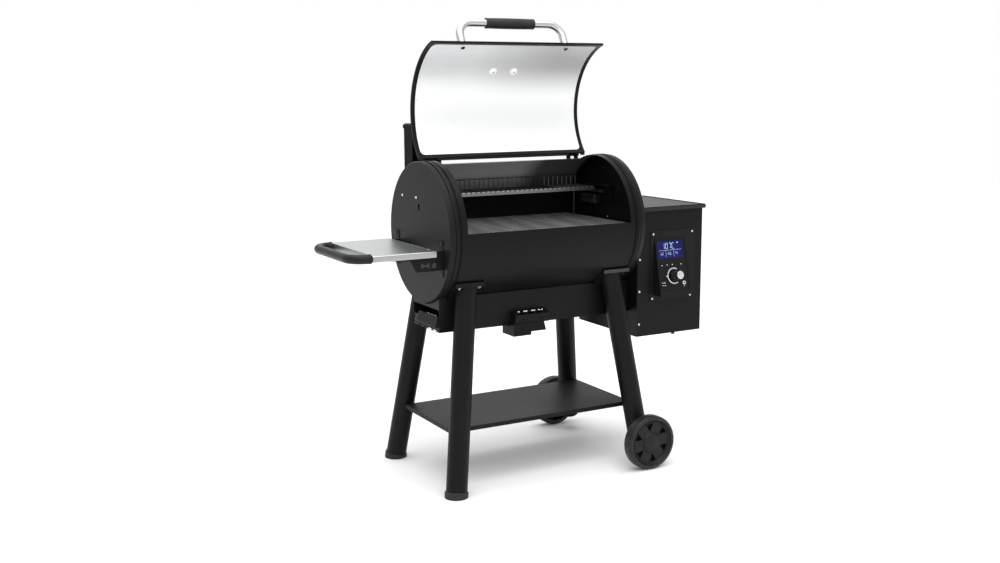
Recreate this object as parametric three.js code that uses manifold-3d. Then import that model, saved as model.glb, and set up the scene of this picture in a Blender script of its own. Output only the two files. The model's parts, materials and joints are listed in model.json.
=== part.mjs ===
// Pellet smoker grill: a horizontal barrel cooker on four splayed tube legs, with a
// side pellet hopper, a tilting control panel, a drop-in cooking grate set and an
// upward-opening curved lid. Millimetres, +Z up, front of the grill towards -Y,
// hopper towards +X. The lid is drawn open, resting on its hinge stop.
import * as THREE from 'three';
import { mergeVertices } from 'three/addons/utils/BufferGeometryUtils.js';
import Module from 'manifold-3d';

const wasm = await Module();
wasm.setup();

// ---------------------------------------------------------------- driving dimensions
const SHIFT_X = 15.5;             // barrel centre to the middle of the overall length
const GAP = 0.3;                  // clearance between neighbouring pieces

// barrel
const R = 251, T = 2, ZC = 897.5; // outer radius, wall, axis height
const X_CAP = 401, X_SEAM = 371.5, X_OPEN = 335;
const OPEN_BACK = 68, OPEN_FRONT = 176.2; // opening, degrees from +Y over the top
// lid (drawn closed about the barrel axis, then swung open)
const LID_R = 260, LID_RI = 252.2, LID_SKIN = 1.7, LID_X = 355.4, LID_RIM = 15;
const LID_A0 = 66.8, LID_A1 = 179.7, LID_OPEN = 106.7;
const PIN_Y = 104.0, PIN_Z = 1144.0, HINGE_X = 307;
const HANDLE_A = 170.3, HANDLE_X = 214, HANDLE_OUT = 93, HANDLE_R = 14.5, HANDLE_BEND = 53;
const GRIP_L = 200, GRIP_R = 20;
// interior
const GRATE_Z = 896, GRATE_T = 9, GRATE_Y = 234, BAR_PITCH = 13;
const RACK_Z = 1028, RACK_Y0 = 36, RACK_Y1 = 166, FENCE_H = 38;
const POT = [-56, -50], AUGER = [-50, 705];
// hopper
const HX0 = 405, HX1 = 706, HY0 = -196.7, HY1 = 203.3, HZ0 = 468, HZ1 = 944;
const HL_X0 = 402, HL_X1 = 713, HL_Y0 = -208.4, HL_TOP = 957, HL_PIN_Y = 209.5, HL_PIN_Z = 951;
// control panel: top edge and bottom edge of the tilted face
const PAN_X0 = 480, PAN_X1 = 636, PAN_X1_TOP = 619, PAN_T = [-199, 842], PAN_B = [-246, 626];
const FL_X0 = 462, FL_X1 = 668, FL_Z0 = 600, FL_Z1 = 868;
const KNOB_X = 552, KNOB_V = 149.4, BUTTON_X = [500, 524, 548, 589], BUTTON_V = 107;
// under the barrel
const TR_X0 = -390, TR_Y0 = -130, TR_Y1 = 80, TR_Z0 = 562.6, TR_LOW = 556.6; // floor and lower edge of the trough
const ASH_X0 = -104, ASH_X1 = 35; // ash cowl
const BIN_X0 = -110, BIN_X1 = -38; // ash bin body
// stand
const FOOT = [396, 260], SPLAY = [91.5 / 690, 92 / 690], LEG_R = 38, LEG_T = 2;
const SADDLE_X = 306, SADDLE_W = 111;
const SHELF_X = 382, SHELF_Y = 191, SHELF_Z = 222;
const WHEEL_X = 368, WHEEL_Y = 338, WHEEL_R = 101.5, WHEEL_W = 48;
// side shelf
const SS_X0 = -662, SS_X1 = -430, SS_Y = 201, SS_Z = 858, SS_LIP = 22;
const SH_R = 16.4, SH_X = -728, SH_Y = 180, SH_BEND = 58;
// chimney
const CH = { x0: -303, x1: -183, y0: 259, y1: 333, z0: 850, z1: 1262 };

// ---------------------------------------------------------------- helpers
const rad = THREE.MathUtils.degToRad;
const cosd = (a) => Math.cos(rad(a)), sind = (a) => Math.sin(rad(a));

function solid(geometry) {
  const g = geometry.clone();
  g.deleteAttribute('normal');
  g.deleteAttribute('uv');
  const m = mergeVertices(g, 1e-4);
  const index = m.index.array;
  const tri = [];
  for (let i = 0; i < index.length; i += 3) {
    const [a, b, c] = [index[i], index[i + 1], index[i + 2]];
    if (a !== b && b !== c && a !== c) tri.push(a, b, c);
  }
  return new wasm.Manifold(new wasm.Mesh({
    numProp: 3,
    vertProperties: new Float32Array(m.attributes.position.array),
    triVerts: new Uint32Array(tri),
  }));
}
function geometryOf(s) {
  const m = s.getMesh(), n = m.numProp, v = new Float32Array(m.numVert * 3);
  for (let i = 0; i < m.numVert; i++) v.set(m.vertProperties.subarray(i * n, i * n + 3), i * 3);
  const g = new THREE.BufferGeometry();
  g.setAttribute('position', new THREE.BufferAttribute(v, 3));
  g.setIndex(new THREE.BufferAttribute(new Uint32Array(m.triVerts), 1));
  g.computeVertexNormals();
  return g;
}
const union = (...s) => s.flat().reduce((a, b) => a.add(b));
const cut = (s, ...t) => t.flat().reduce((a, b) => a.subtract(b), s);

function box(x0, x1, y0, y1, z0, z1) {
  return solid(new THREE.BoxGeometry(x1 - x0, y1 - y0, z1 - z0)
    .translate((x0 + x1) / 2, (y0 + y1) / 2, (z0 + z1) / 2));
}
// a box whose eight corners are given as lower and upper rectangles
function frustum(lo, zl, hi, zh) {
  const g = new THREE.BoxGeometry(1, 1, 1), p = g.attributes.position;
  for (let i = 0; i < p.count; i++) {
    const top = p.getZ(i) > 0, r = top ? hi : lo;
    p.setXYZ(i, p.getX(i) > 0 ? r[1] : r[0], p.getY(i) > 0 ? r[3] : r[2], top ? zh : zl);
  }
  return solid(g);
}
const shapeOf = (pts) => new THREE.Shape(pts.map(([a, b]) => new THREE.Vector2(a, b)));
const extrude = (shape, depth) => new THREE.ExtrudeGeometry(shape, { depth, bevelEnabled: false, steps: 1 });
// polygons in the plane across an axis, drawn out along that axis
function prismX(pts, x0, x1) { // [y, z]
  const m = new THREE.Matrix4().makeBasis(new THREE.Vector3(0, 1, 0), new THREE.Vector3(0, 0, 1), new THREE.Vector3(1, 0, 0));
  return solid(extrude(shapeOf(pts), x1 - x0).applyMatrix4(m).translate(x0, 0, 0));
}
function prismY(pts, y0, y1) { // [x, z]
  const m = new THREE.Matrix4().makeBasis(new THREE.Vector3(0, 0, 1), new THREE.Vector3(1, 0, 0), new THREE.Vector3(0, 1, 0));
  return solid(extrude(shapeOf(pts.map(([x, z]) => [z, x])), y1 - y0).applyMatrix4(m).translate(0, y0, 0));
}
function prismZ(pts, z0, z1) { // [x, y]
  return solid(extrude(shapeOf(pts), z1 - z0).translate(0, 0, z0));
}
function rod(p0, p1, r, seg = 20, r1 = r) {
  const a = new THREE.Vector3(...p0), b = new THREE.Vector3(...p1), d = b.clone().sub(a);
  const g = new THREE.CylinderGeometry(r1, r, d.length(), seg);
  g.applyQuaternion(new THREE.Quaternion().setFromUnitVectors(new THREE.Vector3(0, 1, 0), d.normalize()));
  const c = a.add(b).multiplyScalar(0.5);
  return solid(g.translate(c.x, c.y, c.z));
}
const tube = (p0, p1, r, ri, seg = 24) => {
  const a = new THREE.Vector3(...p0), b = new THREE.Vector3(...p1), d = b.clone().sub(a).normalize();
  return cut(rod(p0, p1, r, seg), rod(a.clone().addScaledVector(d, -5).toArray(), b.clone().addScaledVector(d, 5).toArray(), ri, seg));
};
// a turned profile [radius, distance] about an axis through (0,0,0)
function latheX(pts, seg = 48) {
  return solid(new THREE.LatheGeometry(pts.map(([r, x]) => new THREE.Vector2(r, x)), seg).rotateZ(-Math.PI / 2));
}
function latheY(pts, seg = 48) {
  return solid(new THREE.LatheGeometry(pts.map(([r, y]) => new THREE.Vector2(r, y)), seg));
}
// a sector of a ring about the barrel axis
function sector(x0, x1, ri, ro, a0, a1, step = 5) {
  const n = Math.max(1, Math.round((a1 - a0) / step)), pts = [];
  for (let i = 0; i <= n; i++) { const a = a0 + (a1 - a0) * i / n; pts.push([ro * cosd(a), ZC + ro * sind(a)]); }
  for (let i = n; i >= 0; i--) { const a = a0 + (a1 - a0) * i / n; pts.push([ri * cosd(a), ZC + ri * sind(a)]); }
  return prismX(pts, x0, x1);
}
// a round bar swept along a planar path with filleted corners
function bentBar(points, bend, r, seg, steps) {
  const path = new THREE.CurvePath(), P = points.map((p) => new THREE.Vector3(...p));
  let at = P[0];
  for (let i = 1; i < P.length - 1; i++) {
    const u = P[i - 1].clone().sub(P[i]).normalize(), v = P[i + 1].clone().sub(P[i]).normalize();
    const a = P[i].clone().addScaledVector(u, bend), b = P[i].clone().addScaledVector(v, bend);
    const c = P[i].clone().addScaledVector(u, bend).addScaledVector(v, bend);
    path.add(new THREE.LineCurve3(at, a));
    const arc = new THREE.Curve();
    arc.getPoint = (t, out = new THREE.Vector3()) => out.copy(c)
      .addScaledVector(v, -bend * Math.cos(t * Math.PI / 2)).addScaledVector(u, -bend * Math.sin(t * Math.PI / 2));
    path.add(arc);
    at = b;
  }
  path.add(new THREE.LineCurve3(at, P[P.length - 1]));
  const section = new THREE.Shape(Array.from({ length: seg }, (_, i) =>
    new THREE.Vector2(r * Math.cos(2 * Math.PI * i / seg), r * Math.sin(2 * Math.PI * i / seg))));
  return solid(new THREE.ExtrudeGeometry(section, { steps, extrudePath: path, bevelEnabled: false, curveSegments: 1 }));
}
function moved(s, matrix) {
  const m = s.getMesh(), g = new THREE.BufferGeometry();
  g.setAttribute('position', new THREE.BufferAttribute(new Float32Array(m.vertProperties), 3));
  g.setIndex(new THREE.BufferAttribute(new Uint32Array(m.triVerts), 1));
  return solid(g.applyMatrix4(matrix));
}

const root = new THREE.Group();
root.position.x = SHIFT_X;
const FINISH = {
  powder: [0x1b1b1c, 0.55, 0.35], matte: [0x151516, 0.75, 0.1], steel: [0xc9cbcd, 0.28, 1.0],
  liner: [0xe4e6e8, 0.3, 1.0], galvanised: [0x8f9498, 0.45, 0.9], iron: [0x1e1e1f, 0.7, 0.4],
  rubber: [0x161616, 0.85, 0.0], plastic: [0x111112, 0.5, 0.0], screen: [0x1a2fae, 0.15, 0.0],
  button: [0xe8e8e8, 0.4, 0.0], knob: [0x1a1a1b, 0.4, 0.2],
};
function add(name, s, finish, parent = root) {
  const [color, roughness, metalness] = FINISH[finish];
  const mesh = new THREE.Mesh(geometryOf(s), new THREE.MeshStandardMaterial({ color, roughness, metalness }));
  mesh.name = name;
  parent.add(mesh);
  return mesh;
}

// ---------------------------------------------------------------- cook chamber
{
  let s = cut(rod([-X_SEAM + GAP, 0, ZC], [X_SEAM - GAP, 0, ZC], R, 72), rod([-X_CAP, 0, ZC], [X_CAP, 0, ZC], R - T, 72));
  const wedge = [[0, ZC]];
  for (let i = 0; i <= 6; i++) { const a = OPEN_BACK + (OPEN_FRONT - OPEN_BACK) * i / 6; wedge.push([320 * cosd(a), ZC + 320 * sind(a)]); }
  s = cut(s, prismX(wedge, -X_OPEN, X_OPEN),
    box(-330, 330, -106, 45, 600, 700),                      // ash and grease slot into the trough
    box(-285, -200, 200, 270, 842, 902));                    // flue opening at the back
  // ledges for the cooking grates, the rear one open at the flue
  s = union(s, box(-350, -290, 236, 249.8, 889, 893), box(-195, 350, 236, 249.8, 889, 893), box(-350, 350, -249.8, -236, 889, 893));
  add('chamber_shell', s, 'powder');
}
function endCap(side) {
  const p = [[0, X_CAP], [248, X_CAP], [251.6, X_CAP - 3.6], [251.6, 380], [253.2, 378.5], [253.2, 372.5], [252.2, X_SEAM],
    [249.6, X_SEAM], [249.6, X_CAP - 2], [0, X_CAP - 2]];
  // about the X axis; a profile drawn from the inner face round to the outer face
  const pts = side > 0 ? p.slice().reverse() : p.map(([r, x]) => [r, -x]);
  return moved(latheX(pts, 54), new THREE.Matrix4().makeTranslation(0, 0, ZC));
}
const railPiece = (sx) => { // angle rail that carries the end of the warming rack
  const [a, b] = sx > 0 ? [358, X_CAP - 1] : [-X_CAP + 1, -358];
  const [c, d] = sx > 0 ? [X_CAP - 3, X_CAP - 1] : [-X_CAP + 1, -X_CAP + 3];
  return union(box(a, b, -58, 115, 1030, 1032), box(c, d, -58, 115, 1008, 1032));
};
{
  let left = union(endCap(-1), railPiece(-1));
  left = cut(left, box(-410, -390, -5.8, 5.8, 975, 992), rod([-410, 0, 992], [-390, 0, 992], 7.5, 16));
  add('end_cap_left', left, 'powder');
  let right = union(endCap(1), railPiece(1));
  right = cut(right, rod([390, AUGER[0], AUGER[1]], [410, AUGER[0], AUGER[1]], 27, 24));
  add('end_cap_right', right, 'powder');
}

// ---------------------------------------------------------------- lid and its handle
const lidMatrix = new THREE.Matrix4().makeTranslation(0, PIN_Y, PIN_Z)
  .multiply(new THREE.Matrix4().makeRotationX(rad(-LID_OPEN)))
  .multiply(new THREE.Matrix4().makeTranslation(0, -PIN_Y, -PIN_Z));
const polar = (r, a) => [r * cosd(a), ZC + r * sind(a)];
// corner pieces that round a rectangular pocket or plate lying on the barrel's curve
function cornerFill(x, a, sx, sa, r, ri, ro) {
  // a square with a quarter circle bitten out, drawn along the radius at angle a
  const am = a + sa * (r / 2) / ri * 180 / Math.PI;
  const n = [cosd(am), sind(am)], t = [-sind(am), cosd(am)];
  const da = (am - a) * Math.PI / 180 * ri;          // distance along the tangent to the corner
  const q = [];
  for (let i = 0; i <= 6; i++) { const b = rad(90 * i / 6); q.push([r - r * Math.sin(b), r - r * Math.cos(b)]); }
  // local frame: u along X from the corner inwards, v along the arc from the corner inwards
  const poly = [[-3, -3], [r, -3], ...q, [-3, r]];
  const g = extrude(shapeOf(poly), ro - ri + 6);
  const base = new THREE.Vector3(x, n[0] * (ri - 3) - t[0] * da, ZC + n[1] * (ri - 3) - t[1] * da);
  const U = new THREE.Vector3(sx, 0, 0), V = new THREE.Vector3(0, t[0] * sa, t[1] * sa), W = new THREE.Vector3(0, n[0], n[1]);
  const basis = new THREE.Matrix4().makeBasis(U, V, W);
  g.applyMatrix4(basis);
  if (basis.determinant() < 0) { // keep faces pointing out when the frame is mirrored
    const p = g.attributes.position;
    for (let i = 0; i < p.count; i += 3) {
      const [bx, by, bz] = [p.getX(i + 1), p.getY(i + 1), p.getZ(i + 1)];
      p.setXYZ(i + 1, p.getX(i + 2), p.getY(i + 2), p.getZ(i + 2));
      p.setXYZ(i + 2, bx, by, bz);
    }
  }
  return solid(g.translate(base.x, base.y, base.z));
}
{
  const dA = LID_RIM / LID_RI * 180 / Math.PI, a0 = LID_A0 + dA, a1 = LID_A1 - dA, px = LID_X - LID_RIM;
  let pocket = sector(-px, px, LID_RI - 6, LID_R - LID_SKIN, a0, a1, 5);
  for (const sx of [-1, 1]) for (const [a, sa] of [[a0, 1], [a1, -1]])
    pocket = cut(pocket, cornerFill(sx * px, a, -sx, sa, 18, LID_RI - 6, LID_R));
  let shell = cut(sector(-LID_X, LID_X, LID_RI, LID_R, LID_A0, LID_A1, 5), pocket);
  // hinge eyes on the lid, between the fixed knuckles
  for (const hx of [-HINGE_X, HINGE_X]) {
    const eye = union(rod([hx - 8.5, PIN_Y, PIN_Z], [hx + 8.5, PIN_Y, PIN_Z], 5.2, 16),
      prismX([polar(259, 67.2), polar(259, 76), polar(262, 76), polar(262.4, 70.5), polar(266, 68.6), polar(266, 67.2)], hx - 8.5, hx + 8.5));
    shell = union(shell, eye);
    shell = cut(shell, rod([hx - 30, PIN_Y, PIN_Z], [hx + 30, PIN_Y, PIN_Z], 2.9, 12));
  }
  // bolt holes for the handle
  for (const hx of [-HANDLE_X, HANDLE_X])
    shell = cut(shell, rod([hx, ...polar(250, HANDLE_A)], [hx, ...polar(270, HANDLE_A)], 4.6, 8));
  add('lid_shell', moved(shell, lidMatrix), 'powder');

  const g = 0.4, ga = g / LID_RI * 180 / Math.PI;
  let liner = sector(-px + g, px - g, LID_RI + 0.9, LID_RI + 2.1, a0 + ga, a1 - ga, 5);
  for (const sx of [-1, 1]) for (const [a, sa] of [[a0 + ga, 1], [a1 - ga, -1]])
    liner = cut(liner, cornerFill(sx * (px - g), a, -sx, sa, 18.5, LID_RI, LID_RI + 4));
  for (const hx of [-HANDLE_X, HANDLE_X])
    liner = cut(liner, rod([hx, ...polar(250, HANDLE_A)], [hx, ...polar(270, HANDLE_A)], 4.6, 8));
  add('lid_liner', moved(liner, lidMatrix), 'liner');

  // handle: a bent tube standing out from the lid, with a sleeve grip
  const foot = polar(LID_R + GAP, HANDLE_A), out = polar(LID_R + HANDLE_OUT, HANDLE_A);
  let bar = bentBar([[-HANDLE_X, ...foot], [-HANDLE_X, ...out], [HANDLE_X, ...out], [HANDLE_X, ...foot]], HANDLE_BEND, HANDLE_R, 12, 24);
  // bolts that pass through the lid into the tube ends
  for (const hx of [-HANDLE_X, HANDLE_X])
    bar = union(bar, rod([hx, ...polar(LID_RI + 0.3, HANDLE_A)], [hx, ...polar(LID_R + 6, HANDLE_A)], 4.0, 8),
      rod([hx, ...polar(LID_RI - 3.4, HANDLE_A)], [hx, ...polar(LID_RI + 0.4, HANDLE_A)], 7.0, 8));
  add('lid_handle', moved(bar, lidMatrix), 'steel');
  const grip = cut(rod([-GRIP_L / 2, ...out], [GRIP_L / 2, ...out], GRIP_R, 28), rod([-GRIP_L, ...out], [GRIP_L, ...out], HANDLE_R + 0.4, 20));
  add('lid_grip', moved(grip, lidMatrix), 'rubber');
}
// fixed hinge leaves with their pins
for (const [name, hx] of [['hinge_left', -HINGE_X], ['hinge_right', HINGE_X]]) {
  const knuckle = (a, b) => union(rod([a, PIN_Y, PIN_Z], [b, PIN_Y, PIN_Z], 5.2, 12),
    prismX([polar(253.2, 64.4), polar(253.2, 65.9), polar(262, 65.9), polar(266, 66.4), polar(269, 66.2), polar(266, 64.9)], a, b));
  const leaf = sector(hx - 25, hx + 25, R + GAP, R + 2.4, 54, 65.9, 3);
  add(name, union(leaf, knuckle(hx - 25, hx - 9), knuckle(hx + 9, hx + 25), rod([hx - 26, PIN_Y, PIN_Z], [hx + 26, PIN_Y, PIN_Z], 2.5, 12)), 'matte');
}

// ---------------------------------------------------------------- grates, rack, fire side
function grate(x0, x1) {
  let s = box(x0, x1, -GRATE_Y, GRATE_Y, GRATE_Z, GRATE_Z + GRATE_T);
  const w = x1 - x0, cx = (x0 + x1) / 2, edge = 7, bar = 7.6;
  const inner = box(x0 + edge, x1 - edge, -GRATE_Y + edge, GRATE_Y - edge, GRATE_Z - 1, GRATE_Z + GRATE_T + 1);
  const slots = [];
  const n = Math.ceil((w + 2 * GRATE_Y) / Math.SQRT2 / BAR_PITCH / 2) + 1;
  for (let i = -n; i <= n; i++) {
    const g = new THREE.BoxGeometry(900, BAR_PITCH - bar, GRATE_T + 4).translate(0, (i + 0.5) * BAR_PITCH, 0).rotateZ(rad(45))
      .translate(cx, 0, GRATE_Z + GRATE_T / 2);
    slots.push(solid(g));
  }
  s = cut(s, union(slots).intersect(inner));
  return s;
}
add('grate_left', grate(-364, -122), 'iron');
add('grate_middle', grate(-121, 121), 'iron');
add('grate_right', grate(122, 364), 'iron');
{
  const w = 2, bars = [], z = RACK_Z, ym = (RACK_Y0 + RACK_Y1) / 2;
  for (const y of [ym, RACK_Y1]) bars.push(box(-364, 364, y - 2.5, y + 2.5, z - 4.5, z));
  bars.push(box(-364, 364, RACK_Y0 - 2.5, RACK_Y0 + 0.5, z - 17, z)); // deep front rail
  bars.push(box(-364, 364, RACK_Y1 - 2, RACK_Y1 + 2, z + FENCE_H - 4, z + FENCE_H));
  for (const x of [-364, 360]) bars.push(box(x, x + 4, RACK_Y0 - 1, RACK_Y1, z - 4, z - 0.5));
  for (let i = 0; i < 13; i++) {
    const x = -345 + 57.5 * i;
    bars.push(box(x - w / 2, x + w / 2, RACK_Y0 - 1, RACK_Y1, z - 3.5, z - 1.25));
    bars.push(box(x - w / 2, x + w / 2, RACK_Y1 - 1, RACK_Y1 + 1, z - 3, z + FENCE_H - 1));
  }
  const s = union(bars);
  add('warming_rack', s, 'galvanised');
}
{ // drip pan: a sloped tray draining to the left, over a folded heat deflector
  const pan = cut(prismY([[-352, 806], [352, 826], [352, 846], [-352, 838]], -205, 205),
    prismY([[-360, 808], [350, 828], [350, 850], [-360, 850]], -203, 203));
  add('drip_pan', union(pan, box(-352, -350, -203.5, -60, 806.5, 826), box(-352, -350, 60, 203.5, 806.5, 826)), 'iron');
  const t = 2.5;
  add('heat_deflector', prismX([[-150, 745], [-150, 742], [0, 782], [150, 742], [150, 745], [0, 785]].map(([y, z]) => [y, z]), -190, 120), 'iron');
}
{
  const [px, py] = POT;
  let s = cut(rod([px, py, 656], [px, py, 736], 48, 20), rod([px, py, 674], [px, py, 740], 45, 20));
  s = cut(s, rod([px + 20, py, AUGER[1]], [px + 60, py, AUGER[1]], 26.4, 16), rod([px + 20, py, 681], [px + 60, py, 681], 0.01 + 5.4, 12));
  for (let i = 0; i < 6; i++) { const a = i * Math.PI / 3; s = cut(s, rod([px + 24 * Math.cos(a), py + 24 * Math.sin(a), 650], [px + 24 * Math.cos(a), py + 24 * Math.sin(a), 680], 5, 6)); }
  add('firepot', s, 'iron');
}
{
  const [ay, az] = AUGER, x0 = POT[0] + 48.4;
  let s = tube([x0, ay, az], [628, ay, az], 25.6, 23.6, 20);
  s = cut(s, box(456, 544, ay - 22, ay + 22, az + 5, az + 40), rod([x0 - 5, ay, 681], [x0 + 90, ay, 681], 5.6, 12));
  add('auger_tube', s, 'galvanised');
  add('igniter', rod([x0 - 14, ay, 681], [x0 + 84, ay, 681], 5, 14), 'steel');
  // screw: a flight wound on a shaft, as one skin of rings
  const n = 10, step = 7.25, xs = x0 + 94, last = Math.floor((598 - xs) / step), pts = [], tri = [];
  for (let k = 0; k <= last + 1; k++) for (let j = 0; j < n; j++) {
    const r = k > 0 && k < last && (k - j + 10 * n) % n === 0 ? 21.5 : 7, a = j / n * 2 * Math.PI;
    pts.push(k > last ? 631.5 : xs + k * step, ay + r * Math.cos(a), az + r * Math.sin(a));
  }
  for (let k = 0; k <= last; k++) for (let j = 0; j < n; j++) {
    const q = k * n + j, w = k * n + (j + 1) % n;
    tri.push(q, w, w + n, q, w + n, q + n);
  }
  const c0 = pts.length / 3;
  pts.push(xs, ay, az, 631.5, ay, az);
  for (let j = 0; j < n; j++) tri.push(c0, (j + 1) % n, j, c0 + 1, (last + 1) * n + j, (last + 1) * n + (j + 1) % n);
  const g = new THREE.BufferGeometry();
  g.setAttribute('position', new THREE.Float32BufferAttribute(pts, 3));
  g.setIndex(tri);
  let screw = solid(g);
  if (screw.volume() < 0) { for (let i = 0; i < tri.length; i += 3) [tri[i + 1], tri[i + 2]] = [tri[i + 2], tri[i + 1]]; g.setIndex(tri); screw = solid(g); }
  add('auger_screw', screw, 'galvanised');
  add('auger_motor', cut(union(box(632, 652, ay - 34, ay + 34, az - 34, az + 34), rod([650, ay, az], [694, ay, az], 27, 24)),
    rod([625, ay, az], [640, ay, az], 7.5, 16)), 'galvanised');
}

// ---------------------------------------------------------------- hopper
{
  const t = 1.6;
  let s = cut(box(HX0, HX1, HY0, HY1, HZ0, HZ1), box(HX0 + t, HX1 - t, HY0 + t, HY1 - t, HZ0 + t, HZ1 + 10));
  s = union(s, box(575, 585, HY0 + 1, HY0 + 11, 461, HZ0 + 1));                 // catch under the front edge
  s = cut(s, box(PAN_X0 + 3, PAN_X1 - 3, HY0 - 5, HY0 + 10, PAN_B[1] + 3, PAN_T[1] - 3),
    rod([HX0 - 5, ...AUGER], [HX0 + 5, ...AUGER], 27, 24),
    box(HX0 - 5, HX0 + 5, -2, 42, 586, 614),                                     // air duct
    box(618, 662, HY1 - 5, HY1 + 5, 506, 534));                                  // power inlet
  for (let i = 0; i < 5; i++) s = cut(s, box(500, 580, HY1 - 5, HY1 + 5, 500 + i * 14, 506 + i * 14)); // air slots
  for (const x of [450, 640]) {
    s = union(s, rod([x, HL_PIN_Y, HL_PIN_Z], [x + 20, HL_PIN_Y, HL_PIN_Z], 3.6, 14), rod([x - 22, HL_PIN_Y, HL_PIN_Z], [x + 20, HL_PIN_Y, HL_PIN_Z], 1.8, 10),
      prismX([[HY1 - 1, 920], [HY1 + 2, 920], [HL_PIN_Y + 2, HL_PIN_Z - 2], [HL_PIN_Y - 2, HL_PIN_Z + 2], [HY1 - 1, 943]], x, x + 20));
  }
  add('hopper_body', s, 'powder');

  let lid = cut(box(HL_X0, HL_X1, HL_Y0, 214, HZ1 - GAP, HL_TOP), box(HL_X0 + 1.5, HL_X1 - 1.5, HL_Y0 + 1.5, 220, HZ1 - 5, HL_TOP - 1.5));
  lid = cut(lid, box(HL_X0 - 1, HL_X1 + 1, 203.6, 220, HZ1 - 5, HL_TOP - 1.5));
  for (const x of [450, 640])
    lid = union(lid, cut(union(rod([x - 20.5, HL_PIN_Y, HL_PIN_Z], [x - 0.5, HL_PIN_Y, HL_PIN_Z], 3.6, 14),
      box(x - 20.5, x - 0.5, HL_PIN_Y - 2, HL_PIN_Y + 2, HL_PIN_Z, HL_TOP - 1)), rod([x - 30, HL_PIN_Y, HL_PIN_Z], [x + 5, HL_PIN_Y, HL_PIN_Z], 2.1, 10)));
  add('hopper_lid', lid, 'powder');

  const funnel = cut(frustum([458, 542, AUGER[0] - 24, AUGER[0] + 24], 736, [HX0 + 2, HX1 - 2, -144, HY1 - 2], 926),
    frustum([460, 540, AUGER[0] - 22, AUGER[0] + 22], 735.9, [HX0 + 4.3, HX1 - 4.3, -141.7, HY1 - 4.3], 926.1));
  add('hopper_funnel', funnel, 'galvanised');
  const bars = [];
  for (let i = 0; i < 7; i++) { const y = -134 + i * 55; bars.push(box(HX0 + 6, HX1 - 6, y - 1.5, y + 1.5, 927, 930)); }
  for (const x of [HX0 + 6, 554, HX1 - 9]) bars.push(box(x, x + 3, -135.5, 197.5, 928.5, 931.5));
  add('hopper_guard', union(bars), 'steel');
}
{ // blower under the hopper, feeding air to the trough
  const c = [560, 20, 556];
  let s = union(rod([c[0], -4, c[2]], [c[0], 44, c[2]], 58, 24), box(HX0 - 0.2 + 2.4, 560, -1, 41, 588, 612));
  s = cut(s, rod([c[0], -2, c[2]], [c[0], 42, c[2]], 56, 24), box(HX0, 560, 1, 39, 590, 610),
    rod([c[0], 41, c[2]], [c[0], 50, c[2]], 30, 16), rod([c[0], -10, c[2]], [c[0], 0, c[2]], 4, 8));
  add('blower_housing', s, 'galvanised');
  let w = cut(rod([c[0], 4, c[2]], [c[0], 34, c[2]], 42, 24), rod([c[0], 7, c[2]], [c[0], 40, c[2]], 33, 24));
  for (let i = 0; i < 8; i++) {
    const a = i * Math.PI / 4, g = new THREE.BoxGeometry(20, 40, 14).translate(38, 0, 0).rotateY(a).translate(c[0], 27, c[2]);
    w = cut(w, solid(g));
  }
  w = union(w, rod([c[0], -8, c[2]], [c[0], 20, c[2]], 3.5, 10));
  add('blower_wheel', w, 'plastic');
  add('power_inlet', cut(union(box(619, 661, HY1 - 14, HY1 + 0.5, 507, 533), box(612, 668, HY1 + 0.4, HY1 + 3, 502, 538)),
    box(626, 654, HY1 - 12, HY1 + 5, 512, 528)), 'plastic');
}

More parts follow.
